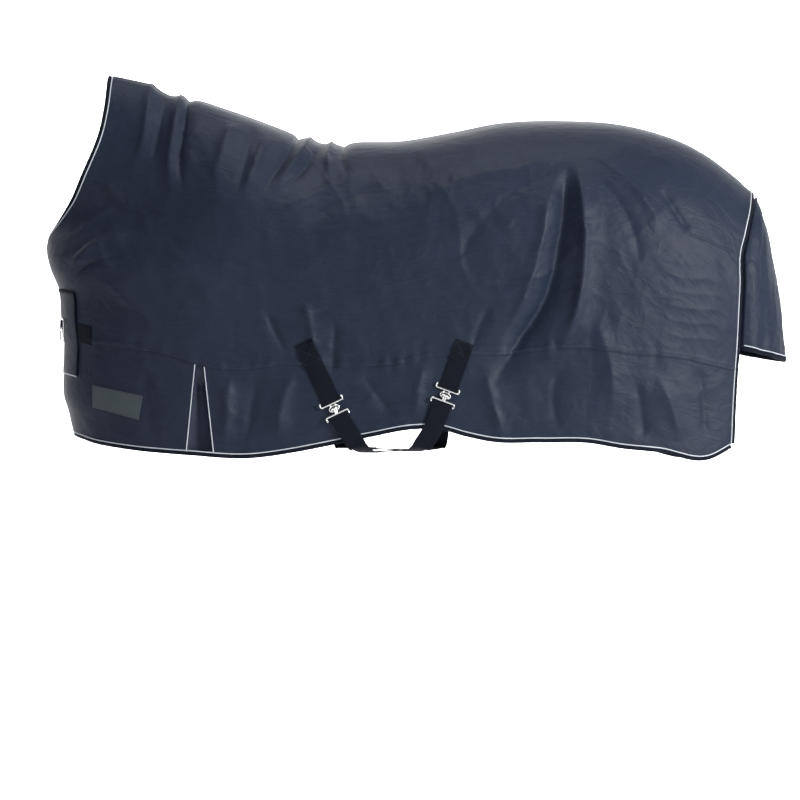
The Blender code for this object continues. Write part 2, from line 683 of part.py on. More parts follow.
def plate_place(where):
    """Centre of the slot plate's bar, just below its tab."""
    centres, _, down = near_tab_points(where, SHELL_THICK + PLATE_CLEAR + CLASP_THICK / 2)
    return centres[-1] + down * (CLASP_BAR / 2 + TOUCH_GAP)


def hook_place(where):
    """Centre of the T-hook's bar, one plate thickness further out."""
    _, _, down = near_tab_points(where, SHELL_THICK)
    place = plate_place(where) + down * CLASP_REACH
    return place + Vector((0.0, -(CLASP_THICK + TOUCH_GAP), 0.0))


def make_surcingles():
    """Crossed belly straps with a slot plate and T-hook at the near end of each."""
    drops = {}
    for where in ("front", "rear"):
        low = SHELL_THICK + 2 * TOUCH_GAP
        _, across, down = near_tab_points(where, low)
        cloth_strip(f"surcingle_tab_{where}", -1, NEAR_TABS[where], across, WEBBING_WIDTH,
                    low, low + WEBBING_THICK, "webbing")
        up = -down
        side_on = Vector((1.0, 0.0, 0.0)) - Vector((1.0, 0.0, 0.0)).dot(down) * down
        plate(f"clasp_plate_{where}", clasp_plate_outline(), CLASP_THICK,
              frame_at(plate_place(where), side_on, up), "nickel")

        drop = pivot(f"surcingle_{where}_pivot", (STRAP_CROSS_X, STRAP_PIVOT_Y, STRAP_PIVOT_Z))
        points, acrosses = strap_path(where)
        ribbon(f"surcingle_strap_{where}", points, acrosses, WEBBING_WIDTH, WEBBING_THICK,
               "webbing", drop)
        tilt = pivot(f"clasp_hook_{where}_pivot", hook_place(where))
        tilt.parent = drop
        tilt.matrix_parent_inverse = drop.matrix_world.inverted()
        bpy.context.view_layer.update()
        plate(f"clasp_hook_{where}", clasp_hook_outline(), CLASP_THICK,
              frame_at(hook_place(where), side_on, up), "nickel", tilt)
        along = (points[8] - points[7]).normalized()
        middle = points[7] + along * 0.030
        ring = ring_outline(WEBBING_WIDTH / 2 + TOUCH_GAP * 2, WEBBING_THICK / 2 + TOUCH_GAP * 2,
                            SLIDER_WALL)
        across_here = acrosses[7]
        stand = frame_at(middle, across_here, along.cross(across_here))
        plate(f"surcingle_slider_{where}", ring, SLIDER_LENGTH, stand, "nickel", drop)
        drops[where] = drop

        off_end = points[-1]
        off_top_x = NEAR_TABS["rear" if where == "front" else "front"][0][0]
        ends = ((off_top_x, TAB_TOP_Z), (off_end.x, STRAP_PIVOT_Z + TOUCH_GAP))
        cloth_strip(f"surcingle_anchor_{where}", 1, ends, Vector((1, 0, 0)), WEBBING_WIDTH,
                    low, low + WEBBING_THICK, "webbing", free_y=STRAP_PIVOT_Y)
    return drops


# ---------------------------------------------------------------- chest closure
PLACKET_TOP_Z, PLACKET_LOW_Z = -0.358, -0.562
PLACKET_NEAR, PLACKET_OFF = -0.128, 0.118
CHEST_STRAP_Z, CHEST_STRAP_WIDTH = -0.455, 0.046
PLACKET_THICK = 0.0015
STRAP_START, BILLET_END = -0.0320, -0.172    # y of the buckle end, and of the billet's sewn end
BUCKLE_Y, BUCKLE_HALF, BUCKLE_WIRE = -0.056, 0.0230, 0.004
BUCKLE_OVER, BUCKLE_LIFT = 0.0055, 0.0050    # past the strap's edge, and above the strap
TONGUE_WIRE = 0.0015
KEEPER_Y, KEEPER_WIDTH, KEEPER_THICK = 0.050, 0.012, 0.0020


# y of the cloth's own facet lines across the chest
CHEST_KNOTS = [0.0] + [side * abs(SHARE_POINTS[SEAM_ROW][i].y) for side in (-1, 1) for i in range(1, 6)]


def chest_stations(start, end, knots):
    """Places from start to end, with the cloth's own folds between them."""
    low, high = min(start, end), max(start, end)
    inner = [k for k in knots if low + 0.004 < k < high - 0.004]
    places = sorted([low, high] + inner)
    return places if end > start else places[::-1]


def chest_sheet(name, y_range, z_range, low, high, slot, parent=None):
    """A piece of cloth or webbing wrapped across the chest."""
    ys = chest_stations(*y_range, CHEST_KNOTS)
    zs = chest_stations(*z_range, [SHARE_POINTS[j][0].z for j in range(LAST_ROW + 1)])
    layers = [[[chest_point(y, z, lift) for y in ys] for z in zs] for lift in (high, low)]
    return add(name, solid_from_layers(layers[0], layers[1]), slot, parent)


def make_chest():
    """Overlapping front placket and its buckled strap, opening from the off side."""
    base = SHELL_THICK + 2 * TOUCH_GAP
    hinge_at = chest_point(PLACKET_OFF, CHEST_STRAP_Z, base)
    hinge = pivot("chest_flap_pivot", hinge_at)
    top = base + PLACKET_THICK
    chest_sheet("chest_placket", (PLACKET_NEAR, PLACKET_OFF), (PLACKET_TOP_Z, PLACKET_LOW_Z),
                base, top, "shell", hinge)
    cord = [chest_point(y, PLACKET_LOW_Z - PIPING_RADIUS - TOUCH_GAP, base + PIPING_RADIUS)
            for y in chest_stations(PLACKET_NEAR, PLACKET_OFF, CHEST_KNOTS)]
    tube("chest_placket_piping", cord, PIPING_RADIUS, "piping", hinge)

    half = CHEST_STRAP_WIDTH / 2
    band = (CHEST_STRAP_Z + half, CHEST_STRAP_Z - half)
    strap_low, strap_high = top + 2 * TOUCH_GAP, top + 2 * TOUCH_GAP + WEBBING_THICK
    chest_sheet("chest_strap", (STRAP_START, PLACKET_OFF - 0.004), band, strap_low, strap_high,
                "webbing", hinge)
    chest_sheet("chest_billet", (BILLET_END, PLACKET_NEAR - 0.0008), band, base, base + WEBBING_THICK,
                "webbing")
    bar = BUCKLE_WIRE
    front = chest_point(BUCKLE_Y, CHEST_STRAP_Z, strap_low + BUCKLE_LIFT)
    side = (chest_point(BUCKLE_Y - 0.024, CHEST_STRAP_Z, strap_low)
            - chest_point(BUCKLE_Y + 0.024, CHEST_STRAP_Z, strap_low))
    stand = frame_at(front, side, (0, 0, 1))
    buckle = [rectangle(BUCKLE_HALF, half + BUCKLE_OVER),
              rectangle(BUCKLE_HALF - bar, half + BUCKLE_OVER - bar)]
    plate("chest_buckle_frame", buckle, bar, stand, "nickel", hinge)
    out = stand.to_3x3().col[2]
    if out.x > 0:
        out = -out
    tongue_root = stand @ Vector((BUCKLE_HALF - bar - 0.0019, 0.0, 0.0)) + out * 0.0010
    tongue_tip = stand @ Vector((-0.0200, 0.0, 0.0)) + out * (bar / 2 + 0.0022)
    turn = pivot("chest_buckle_tongue_pivot", tongue_root)
    turn.parent = hinge
    turn.matrix_parent_inverse = hinge.matrix_world.inverted()
    bpy.context.view_layer.update()
    rise = tongue_root.lerp(tongue_tip, 0.30) + out * 0.0018
    tube("chest_buckle_tongue", [tongue_root, rise, tongue_tip], TONGUE_WIRE, "nickel", turn, rounds=2)
    return hinge


def make_patch():
    """Blank sewn patch on the near side of the chest."""
    rows = {"outer": [], "inner": []}
    for k in range(4):
        for key, lift in (("outer", SHELL_THICK + PATCH_GAP + PATCH_THICK),
                          ("inner", SHELL_THICK + PATCH_GAP)):
            row = []
            for i in range(11):
                s = i / 10
                x = PATCH_X[0] + (PATCH_X[1] - PATCH_X[0]) * s
                z = PATCH_Z[0] + (PATCH_Z[1] - PATCH_Z[0]) * s - PATCH_HEIGHT * k / 3
                row.append(on_cloth(x, z, lift))
            rows[key].append(row)
    add("reflective_patch", solid_from_layers(rows["outer"], rows["inner"]), "patch")


def make_leg_rings():
    """Inner tabs and D-rings near the rear edge, where leg straps clip on."""
    for name, side in SIDES.items():
        lift = -LINING_THICK - 2 * TOUCH_GAP - 0.0006 - WEBBING_THICK / 2
        x, top_z, low_z = RING_TAB_X, RING_TAB_TOP_Z, RING_TAB_LOW_Z
        centres = [on_cloth(x, top_z + (low_z - top_z) * k / 2, lift, side) for k in range(3)]
        along = (on_cloth(x + 0.02, low_z, lift, side) - on_cloth(x - 0.02, low_z, lift, side))
        along.z = 0.0
        along.normalize()
        ribbon(f"leg_ring_tab_{name}", centres, [along] * 3, RING_TAB_WIDTH, WEBBING_THICK, "webbing")
        inward = Vector((0, 0, 1)).cross(along)
        if inward.y * side > 0:
            inward = -inward
        top = centres[-1] + Vector((0, 0, -RING_WIRE - TOUCH_GAP)) + inward * 0.0013
        hang = pivot(f"leg_ring_pivot_{name}", top)
        bow = [math.pi * k / 8 for k in range(1, 8)]
        loop = [top - along * RING_HALF * 0.85, top + along * RING_HALF * 0.85]
        loop += [top + along * RING_HALF * math.cos(a)
                 + Vector((0, 0, -1.45 * RING_HALF * math.sin(a))) for a in bow]
        tube(f"leg_ring_{name}", loop, RING_WIRE, "nickel", hang, closed=True)


def make_keeper(hinge):
    """Sliding loop on the chest strap."""
    lift = SHELL_THICK + 2 * TOUCH_GAP + PLACKET_THICK + TOUCH_GAP + WEBBING_THICK / 2
    here = chest_point(KEEPER_Y, CHEST_STRAP_Z, lift)
    ahead = (chest_point(KEEPER_Y + KEEPER_WIDTH, CHEST_STRAP_Z, lift)
             - chest_point(KEEPER_Y - KEEPER_WIDTH, CHEST_STRAP_Z, lift))
    out = ahead.cross(Vector((0, 0, 1))).normalized()
    if out.x > 0:
        out = -out
    centre = here + out * (WEBBING_THICK / 2 + KEEPER_THICK / 2 + 0.0029)
    loop = [rectangle(CHEST_STRAP_WIDTH / 2 + 0.003, KEEPER_THICK / 2)]
    plate("chest_keeper", loop, KEEPER_WIDTH, frame_at(centre, (0, 0, 1), out), "webbing", hinge)


make_panels()
make_edges()
make_gusset_piping()
make_tail_flap()
make_surcingles()
chest_hinge = make_chest()
make_keeper(chest_hinge)
make_patch()
make_leg_rings()
bpy.context.view_layer.update()
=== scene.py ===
"""Looks of the high-neck turnout rug: cloth with its folds, quilting, bindings, webbing and clasps."""
import math

import bmesh
import bpy
import numpy as np
from mathutils import Matrix, Vector


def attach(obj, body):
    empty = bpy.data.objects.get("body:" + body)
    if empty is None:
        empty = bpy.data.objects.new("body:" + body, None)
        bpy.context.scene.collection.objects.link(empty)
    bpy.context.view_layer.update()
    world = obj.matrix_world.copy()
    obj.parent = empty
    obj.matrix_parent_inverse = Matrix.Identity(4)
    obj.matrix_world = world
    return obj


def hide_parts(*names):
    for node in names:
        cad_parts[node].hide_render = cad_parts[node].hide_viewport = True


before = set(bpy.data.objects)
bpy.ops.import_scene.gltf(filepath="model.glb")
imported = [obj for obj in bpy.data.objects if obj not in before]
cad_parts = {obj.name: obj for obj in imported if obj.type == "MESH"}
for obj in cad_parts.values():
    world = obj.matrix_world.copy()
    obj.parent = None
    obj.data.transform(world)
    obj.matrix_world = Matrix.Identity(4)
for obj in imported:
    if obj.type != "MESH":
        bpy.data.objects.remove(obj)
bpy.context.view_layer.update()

SIDES = {"left": -1, "right": 1}

# ---------------------------------------------------------------- the rug's form, as in the CAD
FRONT_TOP_X, FRONT_TOP_Z, BACK_TOP_X = -0.545, 0.175, 1.050
HEM_FRONT_X, HEM_BACK_X = -0.638, 0.985
NECK_HALF, CHEST_ROUND, CAP_SHARE = 0.115, 0.26, 0.42
NECK_CLOSING, NECK_CLOSED = 0.28, 0.50
SPINE = [(-0.545, 0.175), (-0.462, 0.155), (-0.395, 0.124), (-0.350, 0.118), (-0.250, 0.088),
         (-0.150, 0.052), (-0.060, 0.018), (0.000, 0.001), (0.060, 0.008), (0.175, 0.011),
         (0.300, 0.032), (0.425, 0.056), (0.575, 0.062), (0.738, 0.050), (0.825, 0.028),
         (0.900, -0.002), (0.950, -0.032), (1.000, -0.070), (1.050, -0.112)]
HEM = [(-0.638, -0.712), (-0.560, -0.733), (-0.480, -0.745), (-0.338, -0.757), (-0.186, -0.764),
       (-0.100, -0.753), (-0.020, -0.738), (0.105, -0.712), (0.206, -0.694), (0.271, -0.694),
       (0.334, -0.711), (0.397, -0.724), (0.515, -0.726), (0.638, -0.728), (0.708, -0.740),
       (0.804, -0.750), (0.927, -0.768), (0.985, -0.740)]
FRONT = [(-0.712, -0.638), (-0.660, -0.650), (-0.620, -0.662), (-0.558, -0.662), (-0.482, -0.660),
         (-0.428, -0.667), (-0.362, -0.672), (-0.295, -0.698), (-0.265, -0.704), (-0.225, -0.698),
         (-0.190, -0.672), (-0.145, -0.638), (-0.057, -0.596), (0.017, -0.566), (0.092, -0.551),
         (0.175, -0.545)]
REAR = [(-0.740, 0.985), (-0.632, 0.990), (-0.500, 0.998), (-0.410, 1.002), (-0.350, 1.005),
        (-0.270, 1.008), (-0.232, 1.019), (-0.155, 1.040), (-0.112, 1.050)]
SEAM = [(-0.625, -0.480), (-0.524, -0.490), (-0.408, -0.509), (-0.278, -0.545), (-0.198, -0.550),
        (-0.100, -0.538), (0.000, -0.543), (0.175, -0.536), (0.257, -0.519), (0.443, -0.514),
        (0.592, -0.497), (0.739, -0.514), (0.838, -0.521), (0.985, -0.552)]
WIDTHS = [(0.26, 0.304), (0.40, 0.322), (0.55, 0.332), (0.70, 0.326), (0.82, 0.310),
          (0.90, 0.282), (0.96, 0.245), (1.00, 0.210)]
FLAP_LINE = [(-0.118, 1.056), (-0.145, 1.068), (-0.212, 1.092), (-0.315, 1.112),
             (-0.415, 1.128), (-0.528, 1.140)]
FLAP_TOP_Z, FLAP_SIDE_Z = -0.128, -0.500
GUSSET_TOP, GUSSET_HEM = (-0.320, -0.300), (-0.343, -0.276)
TAB_TOP_Z = -0.492
NEAR_TABS = {"front": ((-0.059, TAB_TOP_Z), (0.011, -0.640)),
             "rear": ((0.332, TAB_TOP_Z), (0.289, -0.608))}
WEBBING = 0.046
BODY_LENGTH, BODY_DROP = 1.65, 0.8                # rough length of u and of t, in metres
BASE_LIFT = 0.0004                                # outer cloth above its lining
GUSSET_SINK = 0.0160
QUILT = 0.075                                     # spacing of the quilting
PIPING, CLOTH_THICK = 0.0014, 0.0011


def through(points):
    """Smooth vectorised curve through (place, value) points."""
    ordered = sorted(points)
    xs = np.array([p[0] for p in ordered])
    ys = np.array([p[1] for p in ordered])
    slopes = np.gradient(ys, xs)

    def at(x):
        x = np.clip(np.asarray(x, float), xs[0], xs[-1])
        k = np.clip(np.searchsorted(xs, x) - 1, 0, len(xs) - 2)
        step = xs[k + 1] - xs[k]
        s = (x - xs[k]) / step
        rise = 3 * s ** 2 - 2 * s ** 3
        return (ys[k] * (1 - rise) + ys[k + 1] * rise + slopes[k] * step * (s - 2 * s ** 2 + s ** 3)
                + slopes[k + 1] * step * (s ** 3 - s ** 2))
    return at


def mirror(side):
    """Factors that put an off-side point or normal on a side."""
    return np.array([1.0, side, 1.0])


def ease(a, b, x):
    """Smooth rise from 0 at a to 1 at b."""
    s = np.clip((np.asarray(x, float) - a) / (b - a), 0.0, 1.0)
    return s * s * (3 - 2 * s)


spine_z, hem_z, seam_z, front_x, rear_x = map(through, (SPINE, HEM, SEAM, FRONT, REAR))
body_half, flap_x = through(WIDTHS), through(FLAP_LINE)
FRONT_LOW_Z, REAR_LOW_Z = float(hem_z(HEM_FRONT_X)), float(hem_z(HEM_BACK_X))
REAR_TOP_Z = float(spine_z(BACK_TOP_X))


def half_width(u, t):
    """Half-width of the body at the share u of its length and t of its drop."""
    s = np.clip(u / CHEST_ROUND, 0, 1)
    closed = ease(NECK_CLOSING, NECK_CLOSED, t)
    edge = NECK_HALF * (1 - closed)
    start = 0.12 * (1 - closed)
    floor = np.sqrt(1 - (1 - start) ** 2)
    turned = start + (1 - start) * s
    chest = (np.sqrt(np.clip(1 - (1 - turned) ** 2, 0, 1)) - floor) / (1 - floor)
    slope = float(ease(-0.15, 1.0, 0.0))
    neck = (ease(-0.15, 1.0, s) - slope) / (1 - slope)
    fore = edge + (float(body_half(CHEST_ROUND)) - edge) * (neck + (chest - neck) * closed)
    wide = np.where(u < CHEST_ROUND, fore, body_half(u))
    cap = np.sqrt(np.clip(1 - (1 - np.clip(t / CAP_SHARE, 0, 1)) ** 2, 0, 1))
    return wide * cap


def form(u, t):
    """Points (…, 3) of the cloth's inner face on the off side, before folds."""
    u, t = np.broadcast_arrays(np.asarray(u, float), np.asarray(t, float))
    top_x = FRONT_TOP_X + (BACK_TOP_X - FRONT_TOP_X) * u
    low_x = HEM_FRONT_X + (HEM_BACK_X - HEM_FRONT_X) * u
    z = (1 - t) * spine_z(top_x) + t * hem_z(low_x)
    front_z = (1 - t) * FRONT_TOP_Z + t * FRONT_LOW_Z
    rear_z = (1 - t) * REAR_TOP_Z + t * REAR_LOW_Z
    bulge = front_x(front_z) - ((1 - t) * FRONT_TOP_X + t * HEM_FRONT_X)
    trail = rear_x(rear_z) - ((1 - t) * BACK_TOP_X + t * HEM_BACK_X)
    x = (1 - t) * top_x + t * low_x + bulge * (1 - u) ** 4 + trail * u ** 6
    return np.stack([x, half_width(u, t), z], -1)


def form_normal(u, t):
    """Unit normals of the form, away from the horse, on the off side."""
    step = 0.0015
    along = form(np.clip(u + step, 0, 1), t) - form(np.clip(u - step, 0, 1), t)
    down = form(u, np.clip(t + step, 0.0005, 1)) - form(u, np.clip(t - step, 0.0005, 1))
    normal = np.cross(along, down)
    return normal / np.maximum(np.linalg.norm(normal, axis=-1, keepdims=True), 1e-12)


def normal_at(u, t, side=1):
    """Normals on a side, read just inside the crest and the front edge."""
    return form_normal(np.maximum(u, 0.0005), np.maximum(t, 0.001)) * mirror(side)


# ---------------------------------------------------------------- folds
def spline(points, count):
    """Evenly numbered points on a Catmull-Rom curve through the given points."""
    pts = np.array(points, float)
    pts = np.vstack([2 * pts[0] - pts[1], pts, 2 * pts[-1] - pts[-2]])
    out = []
    for s in np.linspace(0, len(pts) - 3, count):
        k = min(int(s), len(pts) - 4)
        f = s - k
        a, b, c, d = pts[k:k + 4]
        out.append(0.5 * (2 * b + (c - a) * f + (2 * a - 5 * b + 4 * c - d) * f ** 2
                          + (3 * b - a - 3 * c + d) * f ** 3))
    return np.array(out)


def lattice_noise(x, y, seed):
    """Smooth noise from -1 to 1 on a unit lattice."""
    table = np.random.RandomState(seed).rand(64, 64) * 2 - 1
    xi, yi = np.floor(x).astype(int), np.floor(y).astype(int)
    fx, fy = x - xi, y - yi
    fx, fy = fx * fx * (3 - 2 * fx), fy * fy * (3 - 2 * fy)
    a, b = table[xi % 64, yi % 64], table[(xi + 1) % 64, yi % 64]
    c, d = table[xi % 64, (yi + 1) % 64], table[(xi + 1) % 64, (yi + 1) % 64]
    return (a * (1 - fx) + b * fx) * (1 - fy) + (c * (1 - fx) + d * fx) * fy


def stroke(x, z, points, width, height, skew=0.0, taper=0.3):
    """One fold: a ridge (or valley) along a curve in X and Z, fading at its ends."""
    line = spline(points, 18)
    reach = 3.2 * width
    out = np.zeros_like(x)
    near = ((x > line[:, 0].min() - reach) & (x < line[:, 0].max() + reach)
            & (z > line[:, 1].min() - reach) & (z < line[:, 1].max() + reach))
    px, pz = x[near], z[near]
    best = np.full(px.shape, 9.0)
    along, across = np.zeros_like(px), np.zeros_like(px)
    for k in range(len(line) - 1):
        (ax, az), (bx, bz) = line[k], line[k + 1]
        dx, dz = bx - ax, bz - az
        size = max(dx * dx + dz * dz, 1e-12)
        f = np.clip(((px - ax) * dx + (pz - az) * dz) / size, 0, 1)
        ox, oz = px - ax - f * dx, pz - az - f * dz
        gap = np.hypot(ox, oz)
        closer = gap < best
        best = np.where(closer, gap, best)
        along = np.where(closer, (k + f) / (len(line) - 1), along)
        across = np.where(closer, np.sign(dx * oz - dz * ox), across)
    crest = 0.22 * width
    shape = np.exp(-1.35 * (np.sqrt(best ** 2 + crest ** 2) - crest) / width)
    shape *= (1 + skew * np.tanh(across * best / width)) * ease(reach, 0.6 * reach, best)
    ends = ease(0, taper, along) * ease(0, taper, 1 - along)
    out[near] = height * shape * ends
    return out


# each fold: its line in X and Z, its width, its height (negative is a valley), and its lean
FOLDS = [
    # flank: the deep drape from the point of the hip, with the lit ridge behind it
    ([(0.588, -0.040), (0.577, -0.110), (0.565, -0.222), (0.530, -0.380), (0.455, -0.500),
      (0.375, -0.640)], 0.030, -0.0330, 0.3),
    ([(0.602, -0.040), (0.615, -0.150), (0.618, -0.280), (0.600, -0.410), (0.560, -0.520)],
     0.021, 0.0200, 0.3),
    ([(0.560, -0.060), (0.535, -0.150), (0.515, -0.260), (0.470, -0.400), (0.400, -0.520)],
     0.020, 0.0090, 0.0),
    ([(0.610, -0.045), (0.669, -0.050), (0.753, -0.126), (0.826, -0.246)], 0.016, 0.0045, 0.2),
    ([(0.620, -0.080), (0.690, -0.130), (0.740, -0.220), (0.760, -0.330)], 0.017, -0.0040, 0.0),
    ([(0.802, -0.110), (0.850, -0.180), (0.879, -0.2295)], 0.012, -0.0050, 0.3),
    ([(0.560, -0.050), (0.440, -0.075), (0.300, -0.110), (0.199, -0.220)], 0.022, 0.0045, 0.0),
    ([(0.570, -0.070), (0.450, -0.130), (0.350, -0.230), (0.300, -0.350)], 0.020, -0.0035, 0.0),
    ([(0.640, -0.420), (0.680, -0.540), (0.690, -0.680)], 0.026, 0.0060, 0.0),
    ([(0.790, -0.560), (0.835, -0.660), (0.850, -0.735)], 0.022, 0.0060, 0.0),
    ([(0.740, -0.560), (0.760, -0.660), (0.765, -0.735)], 0.020, -0.0050, 0.0),
    ([(0.900, -0.540), (0.915, -0.640), (0.920, -0.745)], 0.018, -0.0045, 0.0),
    ([(0.560, -0.540), (0.545, -0.620), (0.560, -0.715)], 0.022, -0.0040, 0.0),
    # neck: soft verticals, the sharp crease and the folds into the withers
    ([(-0.445, 0.230), (-0.448, 0.140), (-0.454, 0.050), (-0.470, -0.080)], 0.016, 0.0045, 0.2),
    ([(-0.412, 0.130), (-0.420, 0.040), (-0.436, -0.060)], 0.012, -0.0045, 0.0),
    ([(-0.342, 0.250), (-0.350, 0.125), (-0.362, 0.030), (-0.368, -0.050), (-0.350, -0.150)],
     0.010, -0.0100, 0.5),
    ([(-0.366, 0.250), (-0.372, 0.125), (-0.382, 0.030), (-0.390, -0.050), (-0.380, -0.160)],
     0.012, 0.0080, 0.0),
    ([(-0.240, 0.060), (-0.255, 0.000), (-0.280, -0.110)], 0.018, 0.0050, 0.3),
    ([(-0.186, 0.060), (-0.200, -0.020), (-0.225, -0.140)], 0.012, -0.0066, 0.4),
    ([(-0.152, 0.030), (-0.172, -0.040), (-0.215, -0.160)], 0.014, 0.0066, 0.0),
    ([(-0.050, 0.160), (-0.078, 0.024), (-0.115, -0.050), (-0.180, -0.150)], 0.011, -0.0090, 0.4),
    ([(-0.030, 0.150), (-0.052, 0.014), (-0.086, -0.050), (-0.145, -0.150)], 0.012, 0.0080, 0.0),
    ([(-0.022, 0.000), (-0.058, -0.060), (-0.125, -0.130)], 0.010, -0.0080, 0.3),
    ([(0.002, 0.130), (0.004, 0.002), (-0.004, -0.045), (0.018, -0.110)], 0.012, 0.0110, 0.0),
    ([(0.036, 0.140), (0.034, 0.004), (0.032, -0.040), (0.050, -0.100)], 0.012, -0.0075, 0.3),
    ([(0.120, -0.055), (0.030, -0.100), (-0.066, -0.150), (-0.150, -0.180)], 0.016, 0.0040, 0.0),
    ([(0.150, -0.100), (0.040, -0.150), (-0.080, -0.210)], 0.018, -0.0035, 0.0),
    # throat and shoulder
    ([(-0.650, -0.372), (-0.608, -0.311), (-0.555, -0.290), (-0.480, -0.275)], 0.009, -0.0055, 0.3),
    ([(-0.650, -0.330), (-0.600, -0.270), (-0.535, -0.240), (-0.460, -0.235)], 0.014, 0.0050, 0.0),
    ([(-0.640, -0.285), (-0.590, -0.240), (-0.540, -0.195)], 0.006, -0.0022, 0.0),
    ([(-0.625, -0.225), (-0.575, -0.180), (-0.520, -0.150)], 0.008, 0.0025, 0.0),
    ([(-0.590, -0.090), (-0.540, -0.110), (-0.490, -0.170)], 0.012, 0.0025, 0.0),
    ([(-0.560, -0.330), (-0.470, -0.400), (-0.400, -0.480)], 0.024, 0.0035, 0.0),
    ([(-0.400, -0.250), (-0.320, -0.330), (-0.270, -0.440)], 0.030, 0.0030, 0.0),
    # belly: pulls from the surcingle tabs
    ([(-0.158, -0.400), (-0.125, -0.470), (-0.090, -0.540)], 0.013, -0.0045, 0.0),
    ([(-0.060, -0.380), (-0.042, -0.450), (-0.030, -0.530)], 0.013, 0.0045, 0.0),
    ([(0.020, -0.430), (0.015, -0.500), (0.010, -0.590)], 0.012, -0.0045, 0.0),
    ([(0.395, -0.400), (0.365, -0.460), (0.345, -0.530)], 0.012, -0.0040, 0.0),
    ([(-0.080, -0.560), (-0.110, -0.640), (-0.120, -0.735)], 0.020, 0.0060, 0.0),
    ([(-0.170, -0.570), (-0.185, -0.660), (-0.200, -0.750)], 0.020, -0.0050, 0.0),
    ([(-0.235, -0.570), (-0.245, -0.660), (-0.245, -0.750)], 0.016, 0.0050, 0.0),
    ([(0.080, -0.560), (0.120, -0.620), (0.170, -0.680)], 0.018, -0.0045, 0.0),
    ([(0.230, -0.540), (0.220, -0.610), (0.210, -0.680)], 0.016, 0.0040, 0.0),
    ([(0.380, -0.560), (0.400, -0.640), (0.420, -0.715)], 0.018, 0.0050, 0.0),
    ([(-0.450, -0.540), (-0.440, -0.640), (-0.430, -0.740)], 0.024, -0.0035, 0.0),
]
# places kept smooth under webbing, the patch and the placket: X, Z and reach
CALM = [(0.013, -0.655, 0.055), (0.287, -0.620, 0.055), (-0.514, -0.640, 0.085),
        (-0.020, -0.640, 0.070), (0.306, -0.640, 0.070), (-0.650, -0.455, 0.130)]
RIPPLES = [(-0.300 - 0.036 * k, 0.0012 + 0.0003 * (k % 2)) for k in range(6)]


def folds(u, t, points, side):
    """Height of the folds above the form."""
    x, z = points[..., 0], points[..., 2]
    lean = 1.0 if side < 0 else 0.82
    shifted = x + (0.0 if side < 0 else 0.018) * ease(0.05, 0.30, t)
    out = np.zeros_like(x)
    for line, width, height, skew in FOLDS:
        depth = height * lean * (1.0 if abs(height) > 0.0064 else 1.5)
        out += stroke(shifted, z, line, width, depth, skew)
    for level, height in RIPPLES:
        line = [(0.80, level + 0.02), (0.86, level), (0.93, level - 0.004), (0.975, level - 0.02)]
        out += stroke(shifted, z, line, 0.009, height, 0.0)
    seed = 3 if side < 0 else 9
    calm = ease(0.0, 0.10, t)
    drape = lattice_noise(x * 5.5 + 3, z * 2.2 + 5, seed) * ease(0.50, 1.0, t)
    broad = lattice_noise(x * 4 + z * 2 + 20, z * 5 + 9, seed + 1)
    crinkle = lattice_noise(x * 34 + z * 9 + 7, z * 20 + 3, seed + 2)
    fine = lattice_noise(x * 75 + 11, z * 60 - x * 22 + 8, seed + 3)
    warp = 0.35 * lattice_noise(x * 6 + 2, z * 6 + 15, seed + 6)
    coarse_lines = lattice_noise(x * 8 + z * 4 + warp + 5, z * 6 - x * 3 + warp + 12, seed + 7)
    fine_lines = lattice_noise(x * 19 - z * 7 + warp + 9, z * 15 + x * 5 + 25, seed + 8)
    creased, sharp = (1 - np.abs(coarse_lines)) ** 5, (1 - np.abs(fine_lines)) ** 5
    near_folds = 0.45 + 0.55 * np.clip(np.abs(out) / 0.004, 0, 1)
    out += (0.0030 * creased + 0.0016 * sharp) * near_folds * calm
    out += (0.0065 * drape + 0.0028 * broad + 0.0011 * crinkle + 0.00034 * fine) * calm
    seam_gap = z - seam_z(x)
    pucker = lattice_noise(x * 58, seam_gap * 12 + 30, seed + 4)
    out += 0.0024 * pucker * np.exp(-np.abs(seam_gap) / 0.026)
    hem_gap = (1 - t) * 0.78
    out += 0.0011 * lattice_noise(x * 48, hem_gap * 8 + 40, seed + 5) * np.exp(-hem_gap / 0.02)
    for place_x, place_z, reach in CALM:
        out *= 1 - 0.88 * np.exp(-(((x - place_x) ** 2 + (z - place_z) ** 2) / reach ** 2) ** 2)
    shut = ease(0.0, 0.035, u) + (1 - ease(NECK_CLOSED - 0.05, NECK_CLOSED + 0.05, t))
    return out * np.clip(shut, 0.15, 1.0)


def cloth(u, t, side, lift):
    """Points of the folded cloth at a lift above its inner face."""
    u, t = np.broadcast_arrays(np.asarray(u, float), np.asarray(t, float))
    base = form(u, t)
    height = lift + folds(u, t, base, side)
    out = base + normal_at(u, t) * np.asarray(height)[..., None]
    out[..., 1] = np.where(t < 1e-6, 0.0002, np.maximum(out[..., 1], 0.0002))
    out[..., 1] *= side
    return out


def spaced(round_share, rounded, rest, end=1.0):
    """Shares from 0 to end, close together at 0, where the form rounds over."""
    turn = round_share * (1 - np.cos(np.linspace(0, math.pi / 2, rounded)))
    return np.concatenate([turn, np.linspace(round_share, end, rest + 1)[1:]])


def find(x, z):
    """Shares (u, t) of the cloth at this X and Z, for arrays of places."""
    x, z = np.asarray(x, float), np.asarray(z, float)
    u, t = np.full(x.shape, 0.5), np.full(x.shape, 0.5)
    for _ in range(50):
        here = form(u, t)
        u = np.clip(u + (x - here[..., 0]) / BODY_LENGTH, 0, 1)
        t = np.clip(t - (z - here[..., 2]) / BODY_DROP, 0, 1.0)
    return u, t


def on_cloth(x, z, side, lift):
    u, t = find(x, z)
    return cloth(u, t, side, lift)


